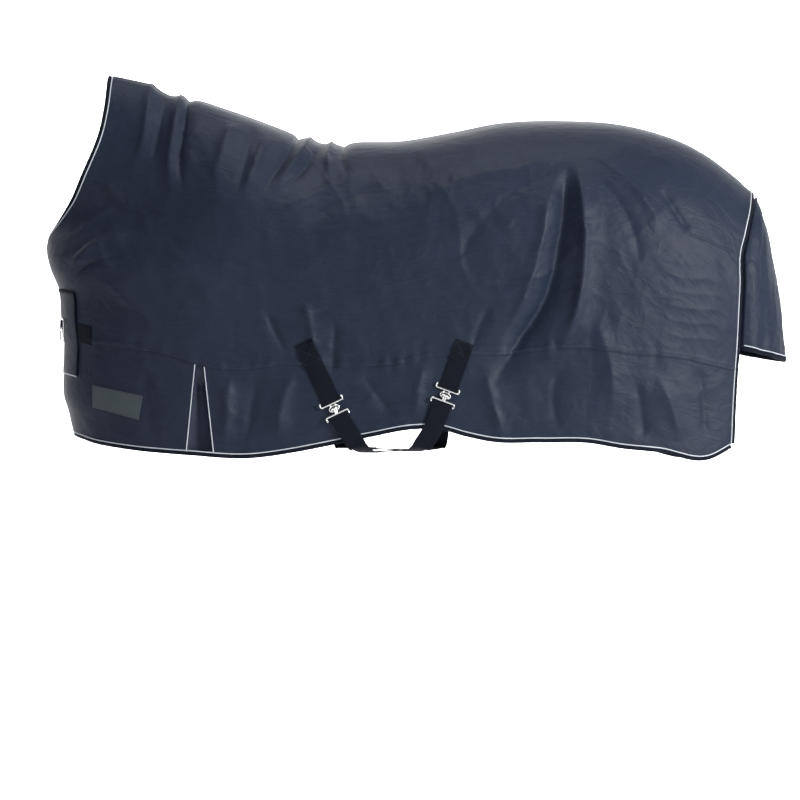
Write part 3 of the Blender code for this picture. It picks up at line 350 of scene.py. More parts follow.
def chest_at(y, z, lift):
    """Points across the front of the chest, y to either side of the middle."""
    y, z = np.broadcast_arrays(np.asarray(y, float), np.asarray(z, float))
    t = (FRONT_TOP_Z - z) / (FRONT_TOP_Z - FRONT_LOW_Z)
    share = np.clip(np.abs(y) / float(body_half(CHEST_ROUND)), 0, 0.999)
    u = CHEST_ROUND * (1 - np.sqrt(1 - share ** 2))
    side = np.where(y < 0, -1.0, 1.0)
    base = form(u, t)
    normal = form_normal(np.maximum(u, 0.0005), t)
    normal[..., 1] *= np.clip(np.abs(y) / 0.02, 0, 1)
    normal /= np.linalg.norm(normal, axis=-1, keepdims=True)
    height = lift + np.where(y < 0, folds(u, t, base, -1), folds(u, t, base, 1))
    out = base + normal * np.asarray(height)[..., None]
    out[..., 1] *= side
    return out


# ---------------------------------------------------------------- materials
def nodes_of(name, roughness, metallic=0.0):
    """A new material, its shader, and helpers that add and link its nodes."""
    made = bpy.data.materials.new(name)
    made.use_nodes = True
    tree = made.node_tree
    shader = tree.nodes["Principled BSDF"]
    shader.inputs["Roughness"].default_value = roughness
    shader.inputs["Metallic"].default_value = metallic

    def add(kind, **values):
        node = tree.nodes.new(kind)
        for key, value in values.items():
            if key in node.inputs:
                node.inputs[key].default_value = value
            else:
                setattr(node, key, value)
        return node

    def link(source, out, target, into):
        tree.links.new(source.outputs[out], target.inputs[into])
    return made, shader, add, link


def ramp(add, link, source, out, stops):
    """Colour ramp from a value; stops are (place, colour)."""
    node = add("ShaderNodeValToRGB")
    elements = node.color_ramp.elements
    while len(elements) < len(stops):
        elements.new(0.5)
    for element, (place, colour) in zip(elements, stops):
        element.position = place
        element.color = (*colour, 1.0)
    link(source, out, node, "Fac")
    return node


def scaled_uv(add, link, scale):
    place = add("ShaderNodeUVMap")
    mapping = add("ShaderNodeMapping", Scale=scale)
    link(place, "UV", mapping, "Vector")
    return mapping


def woven(name, dark, light, roughness, thread, slub, sheen, bump, gloss=0.08, rib=False,
          crumple=0.0):
    """Woven cloth: two sets of threads, slub streaks along the weft, and a soft sheen."""
    made, shader, add, link = nodes_of(name, roughness)
    streaks = add("ShaderNodeTexNoise", Scale=1.0, Detail=5.0, Roughness=0.6)
    link(scaled_uv(add, link, (9.0, 230.0, 1.0)), "Vector", streaks, "Vector")
    blotch = add("ShaderNodeTexNoise", Scale=1.0, Detail=3.0, Roughness=0.5)
    link(scaled_uv(add, link, (7.0, 11.0, 1.0)), "Vector", blotch, "Vector")
    both = add("ShaderNodeMix", data_type="FLOAT")
    both.inputs[0].default_value = slub
    link(blotch, "Fac", both, 2)
    link(streaks, "Fac", both, 3)
    colour = ramp(add, link, both, 0, [(0.30, dark), (0.70, light)])
    link(colour, "Color", shader, "Base Color")
    pitch = 0.314 / thread
    warp = add("ShaderNodeTexWave", Scale=1.0, Distortion=0.6, bands_direction="X")
    weft = add("ShaderNodeTexWave", Scale=1.0, Distortion=0.6, bands_direction="Y")
    ribbed = pitch * (0.25 if rib else 1.0)
    link(scaled_uv(add, link, (pitch, ribbed, 1.0)), "Vector", warp, "Vector")
    link(scaled_uv(add, link, (pitch * 0.7, pitch, 1.0)), "Vector", weft, "Vector")
    cross = add("ShaderNodeMath", operation="MULTIPLY")
    link(warp, "Fac", cross, 0)
    link(weft, "Fac", cross, 1)
    height = add("ShaderNodeMath", operation="ADD")
    link(cross, 0, height, 0)
    link(streaks, "Fac", height, 1)
    relief = add("ShaderNodeBump", Strength=bump, Distance=thread * 0.35)
    link(height, 0, relief, "Height")
    last = relief
    if crumple:
        creases = add("ShaderNodeTexNoise", Scale=1.0, Detail=4.0, Roughness=0.55, Distortion=1.6)
        link(scaled_uv(add, link, (15.0, 24.0, 1.0)), "Vector", creases, "Vector")
        last = add("ShaderNodeBump", Strength=crumple, Distance=0.006)
        link(creases, "Fac", last, "Height")
        link(relief, "Normal", last, "Normal")
    link(last, "Normal", shader, "Normal")
    rough = add("ShaderNodeMapRange")
    rough.inputs["To Min"].default_value = roughness - 0.05
    rough.inputs["To Max"].default_value = roughness + 0.07
    link(both, 0, rough, "Value")
    link(rough, "Result", shader, "Roughness")
    shader.inputs["Sheen Weight"].default_value = sheen
    shader.inputs["Sheen Roughness"].default_value = 0.45
    shader.inputs["Sheen Tint"].default_value = (0.62, 0.70, 0.86, 1.0)
    shader.inputs["Specular IOR Level"].default_value = gloss
    return made


def metal(name, tint):
    """Polished nickel with faint casting marks."""
    made, shader, add, link = nodes_of(name, 0.16, 1.0)
    place = add("ShaderNodeTexCoord")
    marks = add("ShaderNodeTexNoise", Scale=240.0, Detail=4.0, Roughness=0.6)
    link(place, "Object", marks, "Vector")
    colour = ramp(add, link, marks, "Fac", [(0.25, tuple(0.86 * c for c in tint)), (0.7, tint)])
    link(colour, "Color", shader, "Base Color")
    rough = add("ShaderNodeMapRange")
    rough.inputs["To Min"].default_value = 0.12
    rough.inputs["To Max"].default_value = 0.27
    link(marks, "Fac", rough, "Value")
    link(rough, "Result", shader, "Roughness")
    relief = add("ShaderNodeBump", Strength=0.12, Distance=0.0002)
    link(marks, "Fac", relief, "Height")
    link(relief, "Normal", shader, "Normal")
    return made


CLOTH = woven("outer_cloth", (0.0070, 0.0118, 0.0250), (0.0128, 0.0190, 0.0370), 0.50, 0.0009,
              0.60, 0.0, 0.24, gloss=0.17, crumple=0.42)
LINING = woven("lining_taffeta", (0.010, 0.014, 0.026), (0.016, 0.022, 0.038), 0.40, 0.0006,
               0.25, 0.05, 0.12, gloss=0.18)
TAPE = woven("binding_tape", (0.0030, 0.0045, 0.0095), (0.0055, 0.0080, 0.0150), 0.72, 0.0010,
             0.20, 0.03, 0.45, rib=True)
WEB = woven("webbing", (0.0022, 0.0030, 0.0065), (0.0050, 0.0064, 0.0120), 0.68, 0.0015,
            0.20, 0.03, 0.60, rib=True)
CORD = woven("reflective_piping", (0.34, 0.37, 0.41), (0.52, 0.55, 0.59), 0.40, 0.0008,
             0.20, 0.05, 0.30, gloss=0.40)
PATCH = woven("patch_cloth", (0.040, 0.052, 0.059), (0.058, 0.074, 0.082), 0.55, 0.0011,
              0.35, 0.05, 0.35, gloss=0.20)
THREAD = woven("sewing_thread", (0.010, 0.014, 0.026), (0.026, 0.033, 0.052), 0.55, 0.0004,
               0.30, 0.05, 0.40, gloss=0.20)
NICKEL = metal("nickel", (0.90, 0.90, 0.89))


# ---------------------------------------------------------------- mesh helpers
def mesh_piece(name, verts, faces, material, uv=None, sharp=50.0):
    """An object from arrays of points and faces, smooth with sharp rims."""
    data = bpy.data.meshes.new(name)
    data.from_pydata([tuple(v) for v in verts], [], [tuple(f) for f in faces])
    data.materials.append(material)
    layer = data.uv_layers.new(name="UVMap")
    if uv is not None:
        loops = np.empty(len(data.loops), int)
        data.loops.foreach_get("vertex_index", loops)
        layer.data.foreach_set("uv", np.asarray(uv, float)[loops].ravel())
    data.shade_smooth()
    data.set_sharp_from_angle(angle=math.radians(sharp))
    data.validate()
    piece = bpy.data.objects.new(name, data)
    bpy.context.scene.collection.objects.link(piece)
    return piece


def face_outward(piece):
    work = bmesh.new()
    work.from_mesh(piece.data)
    bmesh.ops.recalc_face_normals(work, faces=work.faces)
    work.to_mesh(piece.data)
    work.free()


def grid_faces(rows, cols, start=0, flip=False, wrap=False):
    """Quads of a grid of points numbered row by row."""
    j, i = np.meshgrid(np.arange(rows - 1), np.arange(cols if wrap else cols - 1), indexing="ij")
    nxt = (i + 1) % cols
    a, b = start + j * cols + i, start + j * cols + nxt
    d, c = start + (j + 1) * cols + i, start + (j + 1) * cols + nxt
    quads = np.stack([a, d, c, b] if flip else [a, b, c, d], -1).reshape(-1, 4)
    return quads


def shell(name, outer, inner, material, facing):
    """Closed cloth between two equal grids of points; facing is +1 or -1 by its winding."""
    rows, cols = outer.shape[:2]
    count = rows * cols
    verts = np.vstack([outer.reshape(-1, 3), inner.reshape(-1, 3)])
    ring = ([(0, i) for i in range(cols)] + [(j, cols - 1) for j in range(1, rows)]
            + [(rows - 1, i) for i in range(cols - 2, -1, -1)]
            + [(j, 0) for j in range(rows - 2, 0, -1)])
    edge = np.array([j * cols + i for j, i in ring])
    after = np.roll(edge, -1)
    rim = np.stack([edge, edge + count, after + count, after], -1)
    faces = np.vstack([grid_faces(rows, cols, 0, facing < 0), grid_faces(rows, cols, count, facing > 0),
                       rim if facing > 0 else rim[:, ::-1]])
    steps_u = np.linalg.norm(np.diff(outer, axis=1), axis=-1)
    steps_v = np.linalg.norm(np.diff(outer, axis=0), axis=-1)
    run = np.hstack([np.zeros((rows, 1)), np.cumsum(steps_u, 1)])
    drop = np.vstack([np.zeros((1, cols)), np.cumsum(steps_v, 0)])
    run -= run.mean(1, keepdims=True)
    uv = np.stack([run, drop], -1).reshape(-1, 2)
    return mesh_piece(name, verts, faces.tolist(), material, np.vstack([uv, uv]))


def run_of(points, closed=False):
    """Direction of a line at each of its points."""
    if closed:
        return np.roll(points, -1, 0) - np.roll(points, 1, 0)
    return np.gradient(points, axis=0)


def sweep(name, points, normals, profile, material, closed=False):
    """A profile (away, normal) swept along points; away is across the run and the normal."""
    points, normals = np.asarray(points, float), np.asarray(normals, float)
    count = len(points)
    ahead = run_of(points, closed)
    ahead /= np.linalg.norm(ahead, axis=1, keepdims=True)
    away = np.cross(ahead, normals)
    away /= np.maximum(np.linalg.norm(away, axis=1, keepdims=True), 1e-12)
    up = np.cross(away, ahead)
    profile = np.asarray(profile, float)
    ring = (points[:, None] + away[:, None] * profile[None, :, 0:1]
            + up[:, None] * profile[None, :, 1:2])
    cols = len(profile)
    verts = ring.reshape(-1, 3)
    faces = grid_faces(count, cols, 0, True, wrap=True).tolist()
    if closed:
        first, last = np.arange(cols), (count - 1) * cols + np.arange(cols)
        for k in range(cols):
            m = (k + 1) % cols
            faces.append((last[k], first[k], first[m], last[m]))
    else:
        faces.append(tuple(range(cols)))
        faces.append(tuple(reversed(range((count - 1) * cols, count * cols))))
    lengths = np.concatenate([[0], np.cumsum(np.linalg.norm(np.diff(points, axis=0), axis=1))])
    around = np.concatenate([[0], np.cumsum(np.linalg.norm(np.diff(profile, axis=0), axis=1))])
    uv = np.stack(np.broadcast_arrays(lengths[:, None], around[None, :]), -1).reshape(-1, 2)
    piece = mesh_piece(name, verts, faces, material, uv, 60.0)
    face_outward(piece)
    return piece


def round_profile(half_wide, half_thick, steps=12, square=2.0):
    """Superellipse outline; a higher square gives flatter sides."""
    turns = np.linspace(0, 2 * math.pi, steps, endpoint=False)
    c, s = np.cos(turns), np.sin(turns)
    return np.stack([half_wide * np.sign(c) * np.abs(c) ** (2 / square),
                     half_thick * np.sign(s) * np.abs(s) ** (2 / square)], -1)


def cord(name, points, radius, material, closed=False, sides=10):
    """Round cord or wire along points, with a steady twist-free frame."""
    points = np.asarray(points, float)
    ahead = run_of(points, closed)
    guide = np.eye(3)[int(np.argmin(np.abs(ahead).sum(0)))]
    normals = np.cross(np.cross(ahead, guide), ahead)
    normals /= np.maximum(np.linalg.norm(normals, axis=1, keepdims=True), 1e-9)
    return sweep(name, points, normals, round_profile(radius, radius, sides), material, closed)


def stitches(name, points, normals, body, length=0.0034, pause=0.0016, lift=0.0003, radius=0.00042):
    """A row of thread stitches along points, one small lens of thread each."""
    points, normals = np.asarray(points, float), np.asarray(normals, float)
    run = np.concatenate([[0], np.cumsum(np.linalg.norm(np.diff(points, axis=0), axis=1))])
    starts = np.arange(0.001, run[-1] - length, length + pause)
    verts, faces = [], []
    for start in starts:
        a, b = (np.array([np.interp(s, run, points[:, k]) for k in range(3)])
                for s in (start, start + length))
        n = np.array([np.interp(start, run, normals[:, k]) for k in range(3)])
        n /= np.linalg.norm(n)
        ahead = (b - a) / np.linalg.norm(b - a)
        across = np.cross(ahead, n) * radius
        base = len(verts)
        verts += [a - n * 0.0002, b - n * 0.0002]
        for end in (a * 0.7 + b * 0.3 + n * lift, a * 0.3 + b * 0.7 + n * lift):
            verts += [end - across, end + n * radius, end + across]
        s = base + 2
        faces += [(base, s, s + 1), (base, s + 1, s + 2), (base, s + 2, s),
                  (s, s + 3, s + 4, s + 1), (s + 1, s + 4, s + 5, s + 2), (s + 2, s + 5, s + 3, s),
                  (base + 1, s + 4, s + 3), (base + 1, s + 5, s + 4), (base + 1, s + 3, s + 5)]
    uv = np.array(verts)[:, [0, 2]]
    piece = mesh_piece(name, verts, faces, THREAD, uv, 80.0)
    face_outward(piece)
    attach(piece, body)
    return piece


def dress(piece, body, slot, *nodes):
    """Put a piece on its body and hide the CAD nodes that it stands for; slot (its finish) is not used.
    """
    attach(piece, body)
    if nodes:
        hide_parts(*nodes)
    return piece


# ---------------------------------------------------------------- where the seams lie
def seam_share(u):
    """Share of the drop at which the body seam crosses each u."""
    low, high = np.full(np.shape(u), 0.2), np.full(np.shape(u), 1.0)
    for _ in range(26):
        mid = (low + high) / 2
        here = form(u, mid)
        above = here[..., 2] > seam_z(here[..., 0])
        low, high = np.where(above, mid, low), np.where(above, high, mid)
    return (low + high) / 2


SHARE_U = np.linspace(0, 1, 601)
SHARE_T = seam_share(SHARE_U)


def skirt_t(u, s):
    """Share of the drop at s of the way from the seam down to the hem."""
    start = np.interp(u, SHARE_U, SHARE_T)
    return start + (1 - start) * s


def u_at(x, s):
    """Share u at which the skirt reaches this X, s of the way down."""
    low, high = np.zeros(np.broadcast(x, s).shape), np.ones(np.broadcast(x, s).shape)
    for _ in range(26):
        mid = (low + high) / 2
        before = form(mid, skirt_t(mid, s))[..., 0] < x
        low, high = np.where(before, mid, low), np.where(before, high, mid)
    return (low + high) / 2


# ---------------------------------------------------------------- cloth panels and lining
FRONT_COLS, BODY_COLS, CAP_ROWS, SIDE_ROWS, SKIRT_ROWS = 110, 270, 90, 80, 52
FELL = 0.010
HEM_ROW = 0.0085                                  # stitches from the hem and rear edges
layers = {}


def size_of(points):
    """Width, length and area of a cloth from its grid of points."""
    across = np.linalg.norm(np.diff(points, axis=1), axis=-1).sum(1).max()
    down = np.linalg.norm(np.diff(points, axis=0), axis=-1).sum(0).max()
    a, b = points[1:, 1:] - points[:-1, :-1], points[1:, :-1] - points[:-1, 1:]
    area = 0.5 * np.linalg.norm(np.cross(a, b), axis=-1).sum()
    return float(across), float(down), float(min(area, across * down))


def panel(name, u, t, side, lift, node):
    """One closed panel of the outer cloth; its size is kept in layers."""
    low = cloth(u, t, side, lift)
    high = cloth(u, t, side, lift + CLOTH_THICK)
    piece = shell(name, high, low, CLOTH, side)
    dress(piece, "rug_body", "outer_cloth", node)
    layers[name] = (piece, size_of(high))


for word, side in SIDES.items():
    u_line = spaced(CHEST_ROUND, FRONT_COLS, BODY_COLS)
    last = np.interp(u_line, SHARE_U, SHARE_T) + FELL / BODY_DROP
    cap = np.repeat(spaced(CAP_SHARE, CAP_ROWS, 0, CAP_SHARE)[:, None], len(u_line), 1)
    rows = np.linspace(0, 1, SIDE_ROWS + 1)[1:, None]
    t_grid = np.vstack([cap, CAP_SHARE + (last[None, :] - CAP_SHARE) * rows])
    u_grid = np.broadcast_to(u_line, t_grid.shape)
    over = 0.0016 * ease(last[None, :] - 0.028, last[None, :] - 0.008, t_grid)
    panel(f"upper_cloth_{word}", u_grid, t_grid, side, BASE_LIFT + over, f"upper_panel_{word}")

    s = np.linspace(0, 1, SKIRT_ROWS)[:, None]
    fore = u_at(GUSSET_TOP[0] + (GUSSET_HEM[0] - GUSSET_TOP[0]) * s, s)
    aft = u_at(GUSSET_TOP[1] + (GUSSET_HEM[1] - GUSSET_TOP[1]) * s, s)
    c = 1 - np.cos(np.linspace(0, math.pi / 2, 100))[None, :]
    chest_u = fore * c
    panel(f"chest_cloth_{word}", chest_u, skirt_t(chest_u, s), side, BASE_LIFT, f"chest_panel_{word}")
    c = np.linspace(0, 1, 290)[None, :]
    skirt_u = aft + (1 - aft) * c
    panel(f"skirt_cloth_{word}", skirt_u, skirt_t(skirt_u, s), side, BASE_LIFT, f"skirt_panel_{word}")
    c = np.linspace(0, 1, 28)[None, :]
    gusset_u = fore + (aft - fore) * c
    sink = -GUSSET_SINK * np.sin(math.pi * c) ** 0.7 * ease(0, 0.18, s)
    panel(f"gusset_cloth_{word}", gusset_u, skirt_t(gusset_u, s), side, 0.0003 + sink,
          f"shoulder_gusset_{word}")

    lining_u = spaced(CHEST_ROUND, 90, 210)[None, :]
    lining_t = spaced(CAP_SHARE, 80, 120)[:, None]
    lining_u, lining_t = np.broadcast_arrays(lining_u, lining_t)
    base = form(lining_u, lining_t)
    run = base[..., 0]
    drop = np.concatenate([np.zeros((1, lining_u.shape[1])), np.cumsum(
        np.linalg.norm(np.diff(base, axis=0), axis=-1), 0)])
    a, b = (run + drop) / QUILT, (run - drop) / QUILT
    pillow = (np.abs(np.sin(math.pi * a)) * np.abs(np.sin(math.pi * b))) ** 0.45
    rim = np.clip(np.minimum.reduce([lining_u / 0.012, (1 - lining_u) / 0.012,
                                     (1 - lining_t) / 0.02]), 0.0, 1.0)
    depth = 0.0022 + 0.0042 * pillow * (0.25 + 0.75 * rim)
    low_lift = -GUSSET_SINK * np.exp(-((lining_u - (fore.mean() + aft.mean()) / 2) / 0.02) ** 2) \
        * ease(0.76, 0.82, lining_t)
    outer = cloth(lining_u, lining_t, side, -BASE_LIFT + low_lift)
    inner = cloth(lining_u, lining_t, side, -BASE_LIFT - depth + low_lift)
    lining = shell(f"lining_{word}", outer, inner, LINING, side)
    dress(lining, "rug_body", "lining", f"quilted_lining_{word}")


# ---------------------------------------------------------------- edges: binding and piping
PIPING_CORD, GUSSET_CORD = (round_profile(radius, radius, 10) for radius in (PIPING, 0.0013))


def edge_points(side, u, t, inward, out, lift):
    """Points beyond (out) an edge of the cloth, and the cloth's normals there."""
    u, t = np.broadcast_arrays(np.asarray(u, float), np.asarray(t, float))
    inside = form(u + inward[0] * 0.006, np.maximum(t + inward[1] * 0.006, 0))
    away = (form(u, t) - inside) * mirror(side)
    normal = normal_at(u, t, side)
    away -= normal * (away * normal).sum(-1, keepdims=True)
    points = cloth(u, t, side, lift)
    ahead = np.gradient(points, axis=0)
    ahead /= np.linalg.norm(ahead, axis=1, keepdims=True)
    away -= ahead * (away * ahead).sum(-1, keepdims=True)
    away /= np.maximum(np.linalg.norm(away, axis=-1, keepdims=True), 1e-9)
    return points + away * out, normal


def smooth_run(values, times=3):
    for _ in range(times):
        values[1:-1] = (values[:-2] + 2 * values[1:-1] + values[2:]) / 4
    return values


for word, side in SIDES.items():
    runs = {"neck": (0.0, spaced(CAP_SHARE, 120, 190, 0.997), (1, 0)),
            "hem": (spaced(CHEST_ROUND, 150, 400, 0.998), 1.0, (0, -1)),
            "rear": (1.0, spaced(CAP_SHARE, 120, 190, 0.997), (-1, 0))}
    for kind, (u, t, inward) in runs.items():
        band, normal = edge_points(side, u, t, inward, 0.0036, -0.0019)
        piped, _ = edge_points(side, u, t, inward, -0.0022, 0.0022)
        sewn, _ = edge_points(side, u, t, inward, -0.0002, 0.0028)
        if kind == "neck":
            for points, least in ((band, 0.0046), (piped, 0.0018), (sewn, 0.0022)):
                clear = ease(0.0, 0.05, np.asarray(t, float))
                points[:, 1] = side * np.maximum(np.abs(points[:, 1]), least * clear)
        band, piped = smooth_run(band), smooth_run(piped)
        tape = sweep(f"{kind}_tape_{word}", band, normal, round_profile(0.0056, 0.0044, 14, 3.2), TAPE)
        dress(tape, "rug_body", "binding", f"{kind}_binding_{word}")
        trim = sweep(f"{kind}_trim_{word}", piped, normal, PIPING_CORD, CORD)
        dress(trim, "rug_body", "reflective_piping", f"{kind}_piping_{word}")
    s = np.linspace(0.012, 0.992, 60)
    for place, line in (("fore", 0), ("aft", 1)):
        x = GUSSET_TOP[line] + (GUSSET_HEM[line] - GUSSET_TOP[line]) * s
        u = u_at(x, s)
        points = cloth(u, skirt_t(u, s), side, 0.0016)
        normal = form_normal(u, skirt_t(u, s)) * mirror(side)
        trim = sweep(f"gusset_trim_{place}_{word}", points, normal, GUSSET_CORD, CORD)
        dress(trim, "rug_body", "reflective_piping", f"gusset_piping_{place}_{word}")


def sewn_line(name, u, t, side, lift):
    """Stitches along a line of the cloth given by its shares."""
    points = cloth(u, t, side, lift)
    normals = form_normal(u, t) * mirror(side)
    stitches(name, points, normals, "rug_body")


u = np.linspace(0.002, 0.985, 420)
crest = form(u, 0.0)
crest = crest + form_normal(u, 0.001) * (0.0024 + folds(u, np.zeros_like(u), crest, -1))[:, None]
crest[:, 1] = 0.0
ahead = np.gradient(crest, axis=0)
crest_normal = np.stack([-ahead[:, 2], np.zeros_like(u), ahead[:, 0]], -1)
crest_normal /= np.linalg.norm(crest_normal, axis=1, keepdims=True)
spine_fell = sweep("spine_seam", crest, crest_normal, round_profile(0.0060, 0.0012, 14, 3.0), CLOTH)
dress(spine_fell, "rug_body", "outer_cloth")
for k, shift in enumerate((-0.0042, 0.0042)):
    row = crest + crest_normal * 0.0012 + np.array([0.0, shift, 0.0])
    stitches(f"spine_stitch_{k}", row, crest_normal, "rug_body")

for word, side in SIDES.items():
    u = np.linspace(0.004, 0.996, 520)
    t = np.interp(u, SHARE_U, SHARE_T) + (FELL - 0.0065) / BODY_DROP
    fell = sweep(f"felled_seam_{word}", cloth(u, t, side, 0.0028), form_normal(u, t) * mirror(side),
                 round_profile(0.0055, 0.0012, 14, 3.0), CLOTH)
    dress(fell, "rug_body", "outer_cloth")
    u = np.linspace(0.012, 0.988, 700)
    for row, back in (("low", 0.0035), ("high", 0.0100)):
        t = np.interp(u, SHARE_U, SHARE_T) + FELL / BODY_DROP - back / BODY_DROP
        sewn_line(f"seam_stitch_{row}_{word}", u, t, side, 0.0041)
    sewn_line(f"hem_stitch_{word}", u, np.full_like(u, 1 - HEM_ROW / BODY_DROP), side, 0.0017)
    t = np.linspace(0.02, 0.985, 400)
    sewn_line(f"rear_stitch_{word}", np.full_like(t, 1 - HEM_ROW / BODY_LENGTH), t, side, 0.0017)
    x = np.array([0.879, 0.910, 0.940, 0.972, 0.990])
    z = np.array([-0.2295, -0.240, -0.252, -0.266, -0.274])
    line = spline(np.stack([x, z], -1), 60)
    u, t = find(line[:, 0], line[:, 1])
    fold = cloth(u, t, side, 0.0018)
    normal = form_normal(u, t) * mirror(side)
    rump = sweep(f"rump_seam_{word}", fold, normal, round_profile(0.0036, 0.0014, 12), CLOTH)
    dress(rump, "rug_body", "outer_cloth")
    sewn_line(f"rump_stitch_{word}", u, t + 0.005, side, 0.0017)


# ---------------------------------------------------------------- tail flap
FLAP_PAD = 0.0045
edge_t = spaced(CAP_SHARE, 60, 60)
rear_edge, _ = edge_points(1, 1.0, edge_t, (-1, 0), 0.0108, 0.001)
order = np.argsort(rear_edge[:, 2])


def flap_points(share, turn, lift):
    """Points of the tail flap: share down its length, turn from -1 to 1 across it."""
    share, turn = np.broadcast_arrays(np.asarray(share, float), np.asarray(turn, float))
    side_z = FLAP_TOP_Z + (FLAP_SIDE_Z - FLAP_TOP_Z) * share
    mid_z = FLAP_TOP_Z + (FLAP_LINE[-1][0] - FLAP_TOP_Z) * share
    edge_x = np.interp(side_z, rear_edge[order, 2], rear_edge[order, 0]) + FLAP_PAD + 0.0006
    half = np.interp(side_z, rear_edge[order, 2], rear_edge[order, 1])
    swing, inward = np.sin(turn * math.pi / 2), np.cos(turn * math.pi / 2)
    z = mid_z * inward + side_z * (1 - inward)
    x = edge_x + np.maximum(flap_x(mid_z) - edge_x, 0.004) * inward
    place = np.stack([x, half * 0.97 * swing, z], -1)
    inside = np.stack([edge_x - 0.20, np.zeros_like(z), z], -1)
    out = (place - inside) / np.linalg.norm(place - inside, axis=-1, keepdims=True)
    wave = (0.0050 * lattice_noise(turn * 3.1 + 9, share * 1.3 + 2, 21)
            + 0.0022 * lattice_noise(turn * 8 + share * 2, share * 4 + 7, 22)
            + 0.0007 * lattice_noise(turn * 26, share * 30, 23))
    wave -= 0.0040 * np.exp(-((np.abs(turn) - 0.62 - 0.10 * share) / 0.07) ** 2) * ease(0.1, 0.4, share)
    wave *= ease(0.0, 0.10, share) * (1 - 0.6 * ease(0.85, 1.0, np.abs(turn)))
    wave = np.maximum(wave, -0.004)
    return place + out * (lift + wave)[..., None], out


share, turn = np.linspace(0, 1, 110)[:, None], np.linspace(-1, 1, 130)[None, :]
high, _ = flap_points(share, turn, 0.0)
low, _ = flap_points(share, turn, -FLAP_PAD)
flap = shell("tail_flap_cloth", high, low, CLOTH, -1)
dress(flap, "tail_flap_body", "outer_cloth", "tail_flap")
turn = np.linspace(-0.985, 0.985, 200)
hem_line, out = flap_points(np.ones_like(turn), turn, -FLAP_PAD / 2)
down = np.array([0.0, 0.0, -1.0])
tape = sweep("tail_flap_tape", hem_line + down * 0.0040, out, round_profile(0.0055, 0.0036, 14, 3.2),
             TAPE)
dress(tape, "tail_flap_body", "binding", "tail_flap_binding")
trim = sweep("tail_flap_trim", hem_line + down * -0.0022 + out * 0.0030, out, PIPING_CORD, CORD)
dress(trim, "tail_flap_body", "reflective_piping", "tail_flap_piping")
points, out = flap_points(np.full_like(turn, 0.978), turn, 0.0003)
stitches("flap_hem_stitch", points, out, "tail_flap_body")
for row, level in (("top", 0.012), ("lower", 0.030)):
    points, out = flap_points(np.full_like(turn, level), turn * 0.98, 0.0003)
    stitches(f"flap_{row}_stitch", points, out, "tail_flap_body")


# ---------------------------------------------------------------- surcingles
STRAP_PIVOT_Y, STRAP_PIVOT_Z = 0.3400, -0.7000
STRAP_CROSS_X, STRAP_SPREAD, STRAP_LOW_Z = 0.150, 0.130, -0.7570
CLASP_HALF, CLASP_WIRE, CLASP_CURL = 0.0290, 0.0022, 0.0100
THIN_WIRE = 0.0019
CLASP_REACH = 0.0270                              # slot plate's bar to the T-hook's bar
SLIDER_HALF = 0.0262
WEB_LOW, WEB_HIGH = 0.0017, 0.0037


def unit(v):
    v = np.asarray(v, float)
    return v / np.linalg.norm(v)


def rise_at_seam(x, z):
    """How far webbing rises to pass over the felled body seam."""
    return 0.0027 * ease(0.024, 0.010, np.abs(z - seam_z(x)))


def strip(name, side, ends, across, width, low, high, material, steps=40, cols=9, free_y=None):
    """Webbing sewn flat on the cloth between two (X, Z) ends."""
    (x0, z0), (x1, z1) = ends
    s, c = np.meshgrid(np.linspace(0, 1, steps), np.linspace(-0.5, 0.5, cols) * width, indexing="ij")
    x, z = x0 + (x1 - x0) * s + across[0] * c, z0 + (z1 - z0) * s + across[2] * c
    over_seam = rise_at_seam(x, z)
    high_points, low_points = (on_cloth(x, z, side, lift + over_seam) for lift in (high, low))
    if free_y is not None:
        lead = ease(0.75, 1.0, s)[..., None]
        for points, lift in ((high_points, high), (low_points, low)):
            there = points.copy()
            there[..., 1] = free_y + (lift - (low + high) / 2) * side
            points += (there - points) * lead
    return shell(name, high_points, low_points, material, side)


def box_stitch(name, side, centre, half_x, half_z, slope, lift):
    """A sewn box with a cross in it."""
    corners = [(-half_x, half_z), (half_x, half_z), (half_x, -half_z), (-half_x, -half_z),
               (-half_x, half_z), (half_x, -half_z), (half_x - 0.001, half_z - 0.001),
               (-half_x, -half_z)]
    lines = [(0, 1), (1, 2), (2, 3), (3, 4), (4, 5), (6, 7)]
    for k, (a, b) in enumerate(lines):
        s = np.linspace(0, 1, 24)[:, None]
        here = np.array(corners[a]) * (1 - s) + np.array(corners[b]) * s
        x = centre[0] + here[:, 0] - slope * here[:, 1]
        z = centre[1] + here[:, 1] + slope * here[:, 0]
        u, t = find(x, z)
        normals = form_normal(u, t) * mirror(side)
        over_seam = rise_at_seam(x, z) * (lift > WEB_HIGH)
        stitches(f"{name}_{k}", cloth(u, t, side, lift + over_seam), normals, "rug_body")


def placed(points, origin, across, up):
    """Local (across, up, out) points in the world."""
    out = np.cross(across, up)
    p = np.asarray(points, float)
    return origin + p[:, 0:1] * across + p[:, 1:2] * up + p[:, 2:3] * out


def wire(name, points, at, radius, closed=False):
    """Nickel wire along local points, at an (origin, across, up) place."""
    return cord(name, placed(points, *at), radius, NICKEL, closed)


def bar_with_ends(turn):
    """Bar whose two ends curl up (1) or down (-1)."""
    h, c = CLASP_HALF, CLASP_CURL * turn
    half = [(0, 0, 0), (h * 0.5, 0, 0), (h - 0.0045, 0, 0), (h - 0.0010, c * 0.12, 0), (h, c * 0.45, 0),
            (h - 0.0004, c * 0.85, 0.0006), (h - 0.0022, c * 1.05, 0.0012)]
    left = [(-x, y, z) for x, y, z in reversed(half[1:])]
    return spline(left + half, 60)


